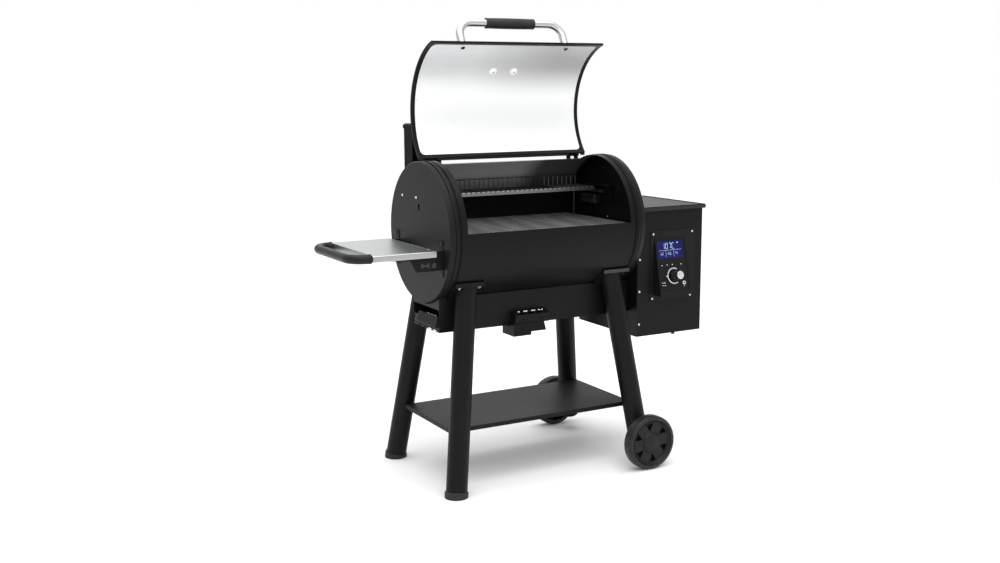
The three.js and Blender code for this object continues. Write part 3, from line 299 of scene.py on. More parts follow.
def zinc(name, base, rough):
    """Plated fastener: slight colour drift and turned marks."""
    m = Mat(name)
    cloud = m.noise(160.0, 3.0, 0.6)
    m.set(Base_Color=m.mix(m.remap(cloud, 0.3, 0.7, 0, 1), [c * 0.85 for c in base], base), Metallic=1.0)
    m.set(Roughness=m.remap(cloud, 0.3, 0.7, rough, rough + 0.1))
    m.bump(m.noise(2400.0, 2.0, 0.5), 0.05, 0.0002)
    return m.m


def lcd(name):
    """Backlit display: blue field with a faint cloudy change of brightness, under gloss."""
    m = Mat(name)
    cloud = m.noise(18.0, 1.0, 0.4)
    fine = m.noise(900.0, 1.0, 0.5)
    col = m.mix(m.remap(cloud, 0.3, 0.7, 0, 1), (0.005, 0.007, 0.066), (0.008, 0.010, 0.094))
    m.set(Base_Color=col)
    m.link(col, m.b.inputs["Emission Color"])
    m.b.inputs["Emission Strength"].default_value = 0.26
    m.b.inputs["Specular IOR Level"].default_value = 0.12
    m.b.inputs["Coat Weight"].default_value = 0.05
    m.b.inputs["Coat Roughness"].default_value = 0.04
    m.set(Roughness=m.remap(fine, 0.3, 0.7, 0.16, 0.22))
    return m.m


def glow(name, base, power):
    m = Mat(name)
    cloud = m.noise(700.0, 2.0, 0.5)
    col = m.mix(m.remap(cloud, 0.3, 0.7, 0, 1), [c * 0.9 for c in base], base)
    m.set(Base_Color=col, Roughness=m.remap(cloud, 0.3, 0.7, 0.35, 0.45))
    m.link(col, m.b.inputs["Emission Color"])
    m.b.inputs["Emission Strength"].default_value = power
    return m.m


def barrel(name, base, rough, spec=0.13):
    """Powder-coated barrel; on the inner face of its back wall a paler, half-metallic band near the top edge is painted
    light, fading out to the right.
    """
    m = Mat(name)
    cloud = m.noise(3.1, 4.0, 0.6)
    fine = m.noise(52.0, 5.0, 0.7)
    lo, hi = [c * 0.82 for c in base], [c * 1.22 for c in base]
    col = m.mix(m.remap(cloud, 0.3, 0.7, 0, 1), lo, hi)
    s = m.nt.nodes.new("ShaderNodeSeparateXYZ")
    m.link(m.co, s.inputs[0])
    dz = m.math("SUBTRACT", s.outputs[2], ZC / 1000)
    r = m.math("SQRT", m.math("ADD", m.math("MULTIPLY", s.outputs[1], s.outputs[1]), m.math("MULTIPLY", dz, dz)))
    # painted light: a paler band on the inner back wall near its top edge, weaker to the right
    inner = m.math("MULTIPLY", m.math("LESS_THAN", r, 0.2502), m.math("GREATER_THAN", s.outputs[1], 0.0))
    band = m.math("MULTIPLY", inner, m.remap(m.math("ADD", dz, m.remap(cloud, 0.3, 0.7, -0.004, 0.004)), 0.105, 0.175, 0.0, 1.0))
    band = m.math("MULTIPLY", band, m.remap(s.outputs[0], 0.115, 0.205, 1.0, 0.16))
    col = m.mix(band, col, (0.47, 0.47, 0.475))
    m.set(Base_Color=col, Metallic=m.math("MULTIPLY", band, 0.35))
    m.b.inputs["Specular IOR Level"].default_value = spec
    m.set(Roughness=m.math("ADD", m.remap(cloud, 0.25, 0.75, rough - 0.035, rough + 0.035), m.remap(fine, 0.3, 0.7, -0.02, 0.03)))
    m.bump(m.noise(850.0, 2.0, 0.5), 0.05, 0.0004)
    m.bump(m.noise(7.0, 1.0, 0.4), 0.03, 0.004)
    return m.m


MAT = {
    "black_powder_coat": powder("powder_satin", (0.0056, 0.0056, 0.0058), 0.40, spec=0.12),
    "barrel": barrel("powder_barrel", (0.0050, 0.0050, 0.0052), 0.37, spec=0.11),
    # left end cap: a lighter copy of the powder coat, painted light on the end that faces the side light
    "cap": powder("powder_end", (0.0075, 0.0075, 0.0077), 0.44, spec=0.13),
    "cap_right": powder("powder_end_gloss", (0.0050, 0.0050, 0.0052), 0.30, spec=0.20),
    # a darker copy of the rack wire metal, used as painted shade
    "rack_painted_shade": zinc("rack_wire_painted_shade", (0.075, 0.075, 0.078), 0.40),
    # a bright copy of the rack wire metal, used as painted highlight
    "rack_painted_highlight": zinc("rack_wire_painted_highlight", (0.55, 0.55, 0.56), 0.35),
    # chimney: a darker, duller copy of the powder coat as painted shade on its left-facing sides
    "chimney": powder("powder_chimney_painted_shade", (0.0032, 0.0032, 0.0033), 0.46, spec=0.04),
    "housing_dark": powder("powder_housing_dark", (0.0062, 0.0062, 0.0064), 0.43, spec=0.15, peel=0.03, dust=0.2),
    # a lighter copy of the powder coat, used as painted light on the saddle edges
    "flange_painted_light": powder("powder_flange", (0.0300, 0.0300, 0.0303), 0.42, spec=0.30),
    # hopper lid: a lighter copy of the powder coat, painted light on the face that looks up
    "lid_top_painted_light": powder("powder_top_painted_light", (0.0140, 0.0140, 0.0142), 0.42, spec=0.28),
    "shelf_black": powder("powder_shelf", (0.0076, 0.0076, 0.0078), 0.47, spec=0.13, dust=0.8),
    "black_hardware": powder("powder_matt", (0.0050, 0.0050, 0.0052), 0.50, peel=0.08, spec=0.12, grain=1400.0),
    "dark_steel": iron("heat_dark_steel", (0.020, 0.019, 0.018), 0.55, heat=0.5),
    # grates: painted shade in diagonal stripes
    "cast_iron_grate": iron("enamel_iron", (0.165, 0.165, 0.167), 0.45, diagonal_painted_shade=0.60),
    # lid liner: painted shade, darker grey towards its free edge and right side
    "polished_liner": steel("liner_steel", (0.93, 0.935, 0.94), 0.46, "x", metal=0.62, line=0.0, wave=0.0, smudge=0.0, fine=1500.0, streak=0.12, painted_shade_gradient=True),
    "stainless_tube": steel("tube_steel", (0.60, 0.605, 0.61), 0.28, "x", line=0.2, wave=0.0),
    "stainless_shelf": steel("shelf_steel", (0.42, 0.428, 0.432), 0.34, "y", line=0.35, wave=0.015),
    "galvanised_steel": galvanised("zinc_sheet"),
    "rack_wire": zinc("rack_wire", (0.26, 0.26, 0.265), 0.38),
    "black_rubber": plastic("rubber_black", (0.017, 0.017, 0.017), 0.58, grain=0.16, scale=900.0, spec=0.3),
    "black_plastic": plastic("plastic_black", (0.0095, 0.0095, 0.0098), 0.42, grain=0.08, spec=0.2),
    "wheel_plastic": plastic("wheel_black", (0.0095, 0.0095, 0.0095), 0.45, grain=0.07, scale=1100.0, spec=0.2),
    "tyre": plastic("tyre_black", (0.010, 0.010, 0.010), 0.40, grain=0.08, scale=800.0, spec=0.32),
    "face_gloss": plastic("panel_gloss", (0.0045, 0.0045, 0.005), 0.30, grain=0.01, spec=0.16, coat=0.08),
    "knob_black": plastic("knob_black", (0.008, 0.008, 0.009), 0.30, grain=0.03, spec=0.4),
    # white buttons and lid nuts: the emission is a painted glow; they are no lamps
    "white_button": glow("button_white_painted_glow", (0.80, 0.80, 0.78), 0.25),
    "blue_display": lcd("display_blue"),
    "digit": glow("display_digit", (0.62, 0.70, 0.92), 0.55),
    "silver": zinc("knob_silver", (0.80, 0.80, 0.81), 0.30),
    "mark": plastic("mark_silver", (0.55, 0.55, 0.56), 0.35, grain=0.0, spec=0.5),
    "screw": zinc("screw_zinc", (0.78, 0.79, 0.80), 0.28),
    "screw_dark": zinc("screw_black", (0.055, 0.055, 0.058), 0.36),
    "hole": plastic("hole_dark", (0.003, 0.003, 0.003), 0.8, grain=0.0, spec=0.1),
}


# ---------------------------------------------------------------- mesh building
def basis(n):
    n = Vector(n).normalized()
    u = n.cross(Vector((1, 0, 0)) if abs(n.x) < 0.8 else Vector((0, 0, 1))).normalized()
    return n.cross(u).normalized() * -1, u, n


class Build:
    """Collects closed shells in millimetres, X measured from the barrel's middle."""

    def __init__(self):
        self.v, self.f = [], []

    def add(self, vs, fs):
        o = len(self.v)
        self.v += [tuple(p) for p in vs]
        self.f += [tuple(i + o for i in f) for f in fs]
        return self

    def box(self, x0, x1, y0, y1, z0, z1):
        vs = [(x, y, z) for x in (x0, x1) for y in (y0, y1) for z in (z0, z1)]
        return self.add(vs, [(0, 1, 3, 2), (4, 6, 7, 5), (0, 4, 5, 1), (2, 3, 7, 6), (0, 2, 6, 4), (1, 5, 7, 3)])

    def lathe(self, prof, origin, axis, n=48, start=0.0):
        """prof: (distance along the axis, radius) pairs. A radius of 0 at an end closes it; otherwise the profile is a loop."""
        u, w, a = basis(axis)
        o = Vector(origin)
        vs, ring = [], []
        for h, r in prof:
            if r <= 1e-9:
                ring.append([len(vs)])
                vs.append(o + a * h)
            else:
                ring.append(list(range(len(vs), len(vs) + n)))
                for k in range(n):
                    t = start + 2 * math.pi * k / n
                    vs.append(o + a * h + (u * math.cos(t) + w * math.sin(t)) * r)
        fs = []
        pairs = list(zip(ring, ring[1:]))
        if len(ring[0]) > 1 and len(ring[-1]) > 1:
            pairs.append((ring[-1], ring[0]))
        for p, q in pairs:
            for k in range(n):
                k2 = (k + 1) % n
                if len(p) == 1 and len(q) == 1:
                    continue
                if len(p) == 1:
                    fs.append((p[0], q[k], q[k2]))
                elif len(q) == 1:
                    fs.append((p[k], q[0], p[k2]))
                else:
                    fs.append((p[k], q[k], q[k2], p[k2]))
        return self.add(vs, fs)

    def rod(self, a, b, r, n=16, edge=0.0):
        a, b = Vector(a), Vector(b)
        length = (b - a).length
        if edge:
            e = min(edge, length / 2.2, r * 0.9)
            prof = [(0, 0), (0, r - e), (e * 0.3, r - e * 0.3), (e, r), (length - e, r), (length - e * 0.3, r - e * 0.3), (length, r - e), (length, 0)]
        else:
            prof = [(0, 0), (0, r), (length, r), (length, 0)]
        return self.lathe(prof, a, b - a, n)

    def sweep(self, path, r, n=20, closed=False):
        """A round bar along a polyline with closely spaced points. r may be a function of the share of the length."""
        pts = [Vector(p) for p in path]
        m = len(pts)
        tan = []
        for i in range(m):
            p0 = pts[i - 1] if (i or closed) else pts[i]
            p1 = pts[(i + 1) % m] if (i < m - 1 or closed) else pts[i]
            tan.append((p1 - p0).normalized())
        u = basis(tan[0])[0]
        vs, fs = [], []
        for i in range(m):
            t = tan[i]
            u = (u - t * u.dot(t)).normalized()
            w = t.cross(u)
            rr = r(i / (m - 1)) if callable(r) else r
            for k in range(n):
                a = 2 * math.pi * k / n
                vs.append(pts[i] + (u * math.cos(a) + w * math.sin(a)) * rr)
        for i in range(m if closed else m - 1):
            j = (i + 1) % m
            for k in range(n):
                k2 = (k + 1) % n
                fs.append((i * n + k, i * n + k2, j * n + k2, j * n + k))
        if not closed:
            fs.append(tuple(range(n - 1, -1, -1)))
            fs.append(tuple((m - 1) * n + k for k in range(n)))
        return self.add(vs, fs)

    def plate(self, poly, origin, u, w, t):
        """A flat plate: outline poly in (u, w), thickness t along u x w."""
        o, u, w = Vector(origin), Vector(u).normalized(), Vector(w).normalized()
        n = u.cross(w)
        k = len(poly)
        vs = [o + u * a + w * b for a, b in poly] + [o + u * a + w * b + n * t for a, b in poly]
        fs = [tuple(range(k - 1, -1, -1)), tuple(range(k, 2 * k))]
        fs += [(i, (i + 1) % k, k + (i + 1) % k, k + i) for i in range(k)]
        return self.add(vs, fs)

    def head(self, pos, normal, r, h, kind="cross", n=24, sink=0.3, turn=0.3):
        """A screw or bolt head with its drive recess, standing on a surface at pos."""
        u, w, a = basis(normal)
        o = Vector(pos) - a * sink

        def ring(rr, hh):
            return [o + a * hh + (u * math.cos(2 * math.pi * k / n + turn) + w * math.sin(2 * math.pi * k / n + turn)) * rr for k in range(n)]

        def shape(rr, hh, kind):
            pts = []
            if kind == "cross":
                b = rr * 0.30
                c = [(rr, -b), (rr, b), (b, b), (b, rr), (-b, rr), (-b, b), (-rr, b), (-rr, -b), (-b, -b), (-b, -rr), (b, -rr), (b, -b)]
                for i in range(12):
                    p, q = c[i], c[(i + 1) % 12]
                    pts += [p, ((p[0] + q[0]) / 2, (p[1] + q[1]) / 2)]
            else:
                c = [(rr * math.cos(math.pi / 3 * i), rr * math.sin(math.pi / 3 * i)) for i in range(6)]
                for i in range(6):
                    p, q = c[i], c[(i + 1) % 6]
                    pts += [(p[0] + (q[0] - p[0]) * s, p[1] + (q[1] - p[1]) * s) for s in (0, 0.25, 0.5, 0.75)]
            ct, st = math.cos(turn), math.sin(turn)
            return [o + a * hh + u * (x * ct - y * st) + w * (x * st + y * ct) for x, y in pts]

        h += sink
        if kind == "hexhead":
            c = [shape(r, x, "hex") for x in (0, h * 0.8)] + [shape(r * 0.86, h, "hex")]
            vs = [p for q in c for p in q]
            fs = [(i * n + k, i * n + (k + 1) % n, (i + 1) * n + (k + 1) % n, (i + 1) * n + k) for i in range(2) for k in range(n)]
            fs += [tuple(range(n - 1, -1, -1)), tuple(2 * n + k for k in range(n))]
            return self.add(vs, fs)
        rings = [ring(r, 0), ring(r, h * 0.35), ring(r * 0.93, h * 0.72), ring(r * 0.76, h * 0.97), shape(r * 0.52, h, kind), shape(r * 0.46, h * 0.45, kind)]
        vs = [p for q in rings for p in q]
        fs = [(i * n + k, i * n + (k + 1) % n, (i + 1) * n + (k + 1) % n, (i + 1) * n + k) for i in range(5) for k in range(n)]
        fs += [tuple(range(n - 1, -1, -1)), tuple(5 * n + k for k in range(n))]
        return self.add(vs, fs)

    def make(self, name, mat, body, slot, angle=32.0, bevel=0.0, seg=2, rep=()):
        bm = bmesh.new()
        vs = [bm.verts.new(((x + SX) / 1000, y / 1000, z / 1000)) for x, y, z in self.v]
        for f in self.f:
            bm.faces.new([vs[i] for i in f])
        return _object(bm, name, mat, body, angle, bevel, seg, rep)


def _object(bm, name, mat, body, angle, bevel, seg, rep):
    bmesh.ops.recalc_face_normals(bm, faces=bm.faces)
    if bevel:
        lim = rad(angle)
        edges = [e for e in bm.edges if len(e.link_faces) == 2 and e.calc_face_angle(0.0) > lim]
        bmesh.ops.bevel(bm, geom=edges, offset=bevel / 1000, offset_type="OFFSET", segments=seg, profile=0.5, affect="EDGES", clamp_overlap=True)
    mesh = bpy.data.meshes.new(name)
    bm.to_mesh(mesh)
    bm.free()
    for p in mesh.polygons:
        p.use_smooth = True
    mesh.set_sharp_from_angle(angle=rad(angle))
    o = bpy.data.objects.new(name, mesh)
    bpy.context.scene.collection.objects.link(o)
    mesh.materials.append(MAT[mat])
    w = o.modifiers.new("flat_faces", "WEIGHTED_NORMAL")
    w.keep_sharp = True
    w.weight = 60
    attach(o, body)
    if rep:
        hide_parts(*rep)
    return o


def skin(node, mat=None, bevel=0.5, seg=2, angle=32.0, min_edge=2.5):
    """The finished surface of a CAD node: the same solid, its flats made whole and its sharp edges eased."""
    src = frame["nodes"][node]
    bm = bmesh.new()
    bm.from_mesh(src.data)
    bmesh.ops.remove_doubles(bm, verts=bm.verts, dist=2e-6)
    bmesh.ops.dissolve_limit(bm, angle_limit=rad(0.3), use_dissolve_boundaries=False, verts=bm.verts, edges=bm.edges, delimit=set())
    if bevel:
        lim, short = rad(angle), min_edge / 1000
        edges = [e for e in bm.edges if len(e.link_faces) == 2 and e.calc_face_angle(0.0) > lim and e.calc_length() > short]
        if edges:
            bmesh.ops.bevel(bm, geom=edges, offset=bevel / 1000, offset_type="OFFSET", segments=seg, profile=0.5, affect="EDGES", clamp_overlap=True)
    return _object(bm, node + "_surface", mat or SLOT_OF[node], BODY_OF[node], angle, 0, 0, (node,))


def fillet(points, radius, steps=10):
    """A polyline with its corners rounded."""
    out = []
    pts = [Vector(p) for p in points]
    for i, p in enumerate(pts):
        if i in (0, len(pts) - 1):
            out.append(p)
            continue
        a, b = (pts[i - 1] - p).normalized(), (pts[i + 1] - p).normalized()
        half = math.acos(max(-1, min(1, a.dot(b)))) / 2
        d = radius / math.tan(half)
        c = p + (a + b).normalized() * (radius / math.sin(half))
        s, e = p + a * d, p + b * d
        v0, v1 = s - c, e - c
        ang = math.acos(max(-1, min(1, v0.dot(v1) / radius / radius)))
        ax = v0.cross(v1).normalized()
        for k in range(steps + 1):
            out.append(c + Matrix.Rotation(ang * k / steps, 3, ax) @ v0)
    return out


def dense(path, step):
    out = []
    for a, b in zip(path, path[1:]):
        a, b = Vector(a), Vector(b)
        n = max(1, int((b - a).length / step))
        out += [a + (b - a) * i / n for i in range(n)]
    out.append(Vector(path[-1]))
    return out


F = "grill_frame"

# ---------------------------------------------------------------- sheet-metal and cast nodes kept as they are
for node, mat in (
    ("chamber_shell", "barrel"), ("end_cap_left", "cap"), ("end_cap_right", "cap_right"),
    ("grate_left", None), ("grate_middle", None), ("grate_right", None), ("drip_pan", None), ("heat_deflector", None),
    ("firepot", None), ("auger_tube", None), ("igniter", None), ("auger_screw", None), ("hopper_funnel", None),
    ("lid_shell", "black_powder_coat"), ("lid_liner", None),
    ("trough", None), ("leg_front_left", None), ("leg_rear_left", None), ("leg_front_right", None), ("leg_rear_right", None),
    ("blower_housing", None), ("blower_wheel", None), ("display_window", None),
):
    skin(node, mat, bevel=0)
for node, mat, w in (
    ("hinge_left", None, 0.4), ("hinge_right", None, 0.4), ("hopper_body", None, 0.5), ("hopper_lid", "lid_top_painted_light", 0.6), ("hopper_guard", None, 0.4),
    ("auger_motor", None, 0.6), ("power_inlet", None, 0.6), ("control_housing", "housing_dark", 1.0), ("control_face", "face_gloss", 0.4),
    ("grease_tray", None, 0.4), ("ash_cowl", None, 0.4), ("ash_bin", None, 0.4),
    ("saddle_front_left", None, 0.6), ("saddle_rear_left", None, 0.6), ("saddle_front_right", None, 0.6), ("saddle_rear_right", None, 0.6),
    ("bottom_shelf", "shelf_black", 0.5), ("side_shelf", None, 0.4), ("shelf_bracket_front", "black_hardware", 0.5), ("shelf_bracket_rear", "black_hardware", 0.5),
    ("chimney", "chimney", 0.5), ("chimney_cap", "chimney", 0.5),
):
    skin(node, mat, bevel=w)

# ---------------------------------------------------------------- lid: handle, grip, fasteners
HX, HA, HOUT, HBEND, HR = 214.0, 170.3, 93.0, 53.0, 14.3
foot, out = lid_point(260.3, HA), lid_point(260 + HOUT, HA)
path = dense(fillet([(-HX, *foot), (-HX, *out), (HX, *out), (HX, *foot)], HBEND, 14), 14)
b = Build().sweep(path, HR, 40)
b.make("lid_handle_tube", "stainless_tube", "lid", "stainless_tube", rep=("lid_handle",), angle=50)
b = Build()
for sx in (-1, 1):  # collars where the tube meets the lid
    o = Vector((sx * HX, *lid_point(260.15, HA)))
    d = Vector((0, *lid_point(300, HA))) - Vector((0, *lid_point(260, HA)))
    b.lathe([(0, 14.6), (0, 18.2), (1.2, 19.0), (3.0, 19.0), (4.4, 17.6), (4.6, 14.6)], o, d, 40)
b.make("lid_handle_collars", "stainless_tube", "lid", "stainless_tube")
b = Build()
for sx in (-1, 1):  # bolts through the lid, seen inside as domed black heads
    o = Vector((sx * HX, *lid_point(252.9, HA)))
    d = Vector((0, *lid_point(200, HA))) - Vector((0, *lid_point(252, HA)))
    b.rod(o, o - d.normalized() * 9, 3.9, 16)
    b.lathe([(0, 0), (0, 8.2), (0.9, 8.4), (1.5, 7.6), (1.6, 6.4), (3.2, 5.6), (4.3, 3.6), (4.7, 0)], o, d, 28)
b.make("lid_handle_bolts", "screw_dark", "lid", "stainless_tube")
# soft sleeve on the handle: a slight barrel shape with end lips and shallow ribs
gp, gl = Vector((0, *out)), 100.0
prof = [(-gl, HR + 0.15), (-gl, 17.2), (-gl + 0.9, 18.7), (-gl + 2.6, 19.4), (-gl + 5.2, 19.2), (-gl + 6.6, 18.1)]
x = -gl + 9
while x < gl - 9:
    k = 18.3 + 1.05 * (1 - (x / gl) ** 2)
    prof += [(x, k), (x + 5.6, k + 0.05), (x + 6.4, k - 0.55), (x + 7.2, k - 0.55)]
    x += 8.0
prof += [(gl - 6.6, 18.1), (gl - 5.2, 19.2), (gl - 2.6, 19.4), (gl - 0.9, 18.7), (gl, 17.2), (gl, HR + 0.15)]
Build().lathe(prof, gp, (1, 0, 0), 56).make("lid_grip_sleeve", "black_rubber", "lid", "black_rubber", angle=50, rep=("lid_grip",))

b, d2 = Build(), Build()
for x in (-43.0, 44.0):  # nuts of a round boss on the lid
    o = Vector((x, *lid_point(253.0, 142)))
    d = Vector((0, *lid_point(200, 142))) - Vector((0, *lid_point(253, 142)))
    b.lathe([(0, 0), (0, 14.0), (0.8, 14.6), (1.6, 14.2), (4.0, 11.0), (5.6, 7.0), (6.2, 3.2), (6.4, 2.6), (5.4, 2.4), (5.4, 0)], o, d, 40)
    d2.rod(o + d.normalized() * 5.0, o + d.normalized() * 7.2, 2.5, 14, 0.3)
# the nuts are drawn in the glowing white button material: painted glow
b.make("lid_boss_nuts", "white_button", "lid", "stainless_tube")
d2.make("lid_boss_studs", "screw_dark", "lid", "black_hardware")
b = Build()
for x0, x1 in ((-353.0, -335.0), (-279.0, 279.0), (335.0, 353.0)):  # lip along the hinge edge, open round the hinges
    q = [lid_point(255.5, 67.6), lid_point(259.5, 67.6), lid_point(259.5, 65.05), lid_point(255.5, 65.05)]
    b.add([Vector((x0, *c)) for c in q] + [Vector((x1, *c)) for c in q], [(3, 2, 1, 0), (4, 5, 6, 7), (0, 1, 5, 4), (1, 2, 6, 5), (2, 3, 7, 6), (3, 0, 4, 7)])
b.make("lid_hinge_lip", "black_powder_coat", "lid", "black_powder_coat", bevel=0.4)
b = Build()
for sx in (-1, 1):
    for a in (80, 117, 156):
        o = Vector((sx * 333.0, *lid_point(253.1, a)))
        d = Vector((0, *lid_point(200, a))) - Vector((0, *lid_point(253, a)))
        b.head(o, d, 3.4, 1.2, "cross", sink=0.2)
b.make("lid_liner_screws", "screw", "lid", "stainless_tube")

# ---------------------------------------------------------------- warming rack in fine wire
r0, r1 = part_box("warming_rack")
RX0, RX1 = r0.x * 1000 - SX, r1.x * 1000 - SX
RY0, RY1, FH = r0.y * 1000 + 3, r1.y * 1000 - 3, 38.0
RZ = r1.z * 1000 - FH - 1
# the left 28 wires and the rails get the darker copy of the wire metal as painted shade; the right 8 keep the plain
# wire metal
b, b_r = Build(), Build()
wr = 1.5
n = 36
for i in range(n):  # one bent wire: deck then fence
    x = RX0 + 6 + (RX1 - RX0 - 12) * i / (n - 1)
    p = fillet([(x, RY0 - 2.9, RZ - 1.6), (x, RY1 + 0.6, RZ - 1.6), (x, RY1 + 0.6, RZ + FH - 2.2)], 5, 4)
    (b if i < 28 else b_r).sweep(p, wr, 8)
for y in ((RY0 + RY1) / 2, RY1 - 6):
    b.sweep(dense([(RX0 + 1, y, RZ - 4.0), (RX1 - 1, y, RZ - 4.0)], 60), 2.4, 12)
b.sweep(dense([(RX0 + 1, RY1 - 0.9, RZ + FH - 3.4), (RX1 - 1, RY1 - 0.9, RZ + FH - 3.4)], 60), 2.4, 12)
for x in (RX0 + 2.6, RX1 - 2.6):
    b.sweep(dense([(x, RY0 - 1, RZ - 2.6), (x, RY1, RZ - 2.6)], 40), 2.5, 12)
b.make("warming_rack_wires", "rack_painted_shade", F, "rack_wire", angle=60, rep=("warming_rack",))
b_r.make("warming_rack_wires_right", "rack_wire", F, "rack_wire", angle=60)
Build().box(RX0 + 0.8, RX1 - 0.8, RY0 - 2.2, RY0 + 0.2, RZ - 15.8, RZ - 5.2).make("warming_rack_rail", "rack_wire", F, "rack_wire", bevel=0.4)
# short lip pieces between the wires in the bright wire copy: painted highlight dashes along the front edge
b = Build()
for i in range(n - 1):
    x = RX0 + 6 + (RX1 - RX0 - 12) * (i + 0.5) / (n - 1)
    b.box(x - 6.5, x + 6.5, RY0 - 2.3, RY0 + 0.3, RZ - 5.0, RZ - 1.4)
b.make("warming_rack_lip_painted_highlight", "rack_painted_highlight", F, "rack_wire", bevel=0.4)

# ---------------------------------------------------------------- chamber fasteners and probe
b, k = Build(), Build()
L = Vector((-1, 0, 0))
for y, z in ((136.6, 1020.0), (20.3, 1020.0)):
    b.head((-X_CAP, y, z), L, 5.0, 2.6, "cross")
b.make("end_cap_screws", "screw", F, "stainless_tube")
for y, z, r in ((-23.2, 962.6, 2.6), (31.8, 961.1, 2.6)):
    k.head((-X_CAP, y, z), L, r, 1.0, "hex")
for y, z in ((-180, 880), (-180, 771), (197, 879), (197, 800)):
    k.head((-X_CAP - 0.6, y, z), L, 6.2, 3.6, "hexhead")
k.make("end_cap_bolts", "screw_dark", F, "black_hardware")
# a screw on the inner face of the right end wall
b = Build()
b.head((X_CAP - 2.0, -1, 909), (-1, 0, 0), 3.0, 1.6, "cross")
b.make("chamber_wall_screws", "screw", F, "stainless_tube")
b = Build()  # rack bracket and probe clamp on the right wall
b.box(386, 398.6, 74, 166, 976, 989).box(386, 398.6, 72, 168, 954, 970).box(390, 398.6, 80, 160, 968, 978).box(384, 398.6, 18, 108, 999, 1012)
b.make("probe_block", "rack_wire", F, "rack_wire", bevel=1.0)
# painted shade: a near-black plate on the right wall standing for the shadow in the rack's keyholes
Build().box(393, 398.6, -42, 4, 966, 1010).make("rack_hook_plate_painted_shade", "hole", F, "black_hardware", bevel=1.0)
# the probe is drawn in the darker copy of the wire metal as painted shade
b = Build().rod((342, 150, 905.6), (342, 150, 1010), 3.8, 20, 0.8)
b.lathe([(0, 3.4), (0, 6.0), (1.0, 6.6), (7.0, 6.6), (8.0, 6.0), (8.0, 3.4)], (342, 150, 996), (0, 0, 1), 24)
b.make("chamber_probe", "rack_painted_shade", F, "rack_wire", angle=60)

b = Build()
c0, c1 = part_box("end_cap_right")
w_cap, r_cap = (c1.x - c0.x) * 1000, (c1.z - c0.z) * 500
for sx in (-1, 1):  # shadow lines of the folded seams
    for back in (w_cap * 0.5, w_cap - 1.4):
        xa = sx * (X_CAP - back)
        b.lathe([(-1.2, r_cap - 1.0), (-1.2, r_cap + 0.12), (1.2, r_cap + 0.12), (1.2, r_cap - 1.0)], (xa, 0, ZC), (1, 0, 0), 160)
b.make("barrel_seam_lines", "hole", F, "black_powder_coat")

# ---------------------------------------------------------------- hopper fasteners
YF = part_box("hopper_body")[0].y * 1000
Fv = Vector((0, -1, 0))
b = Build()
for z in (762.4, 640.8, 515.3):
    b.head((415.0, YF, z), Fv, 4.6, 2.4, "cross")
for x, z in ((473.8, 855), (656.2, 856), (473.4, 609.4), (651.9, 609.2)):
    b.head((x, -199.0, z), Fv, 4.4, 2.4, "cross")
for x in (420, 691):
    for z in (500, 650, 800, 905):
        b.head((x, 203.3, z), Vector((0, 1, 0)), 4.4, 2.2, "cross")
b.make("hopper_screws", "screw", F, "stainless_tube")

# ---------------------------------------------------------------- control panel
b = Build()  # silver arc round the knob, open to the right
KX, KV = 552.0, 149.4
pts = []
for i in range(57):
    a = rad(58 + (300 - 58) * i / 56)
    pts.append((math.cos(a), -math.sin(a)))
vs, fs = [], []
for c, s in pts:
    for r, n_ in ((27.0, -1.35), (31.0, -1.35), (31.0, -0.75), (27.0, -0.75)):
        vs.append(panel(KX + c * r, KV + s * r, n_))
m = len(pts)
for i in range(m - 1):
    for q in range(4):
        fs.append((i * 4 + q, i * 4 + (q + 1) % 4, (i + 1) * 4 + (q + 1) % 4, (i + 1) * 4 + q))
fs += [(3, 2, 1, 0), tuple((m - 1) * 4 + q for q in range(4))]
b.add(vs, fs)


def panel_plate(b, poly, n0, t):
    """A plate lying on the panel; poly in (x, distance down)."""
    k = len(poly)
    vs = [panel(x, v, n0) for x, v in poly] + [panel(x, v, n0 + t) for x, v in poly]
    fs = [tuple(range(k)), tuple(range(2 * k - 1, k - 1, -1))] + [(i, (i + 1) % k, k + (i + 1) % k, k + i) for i in range(k)]
    b.add(vs, fs)


panel_plate(b, [(KX - 37, KV - 1.2), (KX - 31.5, KV - 3.4), (KX - 31.5, KV + 3.4), (KX - 37, KV + 1.2)], -1.35, 0.6)
for x, v in ((493, 172), (502, 172), (494, 182), (503, 182)):  # plain index marks
    panel_plate(b, [(x, v), (x + 6.2, v), (x + 6.2, v + 2.2), (x, v + 2.2)], -1.38, 0.25)
b.make("panel_marks", "mark", F, "stainless_tube", bevel=0.0)
# probe jack
b, k = Build(), Build()
jx, jv = 595.0, 182.0
b.lathe([(0, 3.3), (0, 7.2), (0.8, 7.6), (2.0, 7.2), (2.5, 5.8), (2.5, 3.3)], panel(jx, jv - 3, -1.6), PANEL_N, 32)
k.lathe([(0, 0), (0, 3.2), (0.7, 3.2), (0.7, 0)], panel(jx, jv - 3, -1.5), PANEL_N, 20)
panel_plate(b, [(jx - 1.3, jv + 5.6), (jx + 1.3, jv + 5.6), (jx + 0.9, jv + 12), (jx - 0.9, jv + 12)], -1.38, 0.5)
b.make("probe_jack_ring", "silver", F, "stainless_tube")
k.make("probe_jack_hole", "hole", F, "black_plastic")
# knob: skirt, fluted grip and bright cap
b = Build()
nk = 72


def flute(r, depth):
    return [r - depth * (0.5 - 0.5 * math.cos(2 * math.pi * k * 18 / nk)) for k in range(nk)]


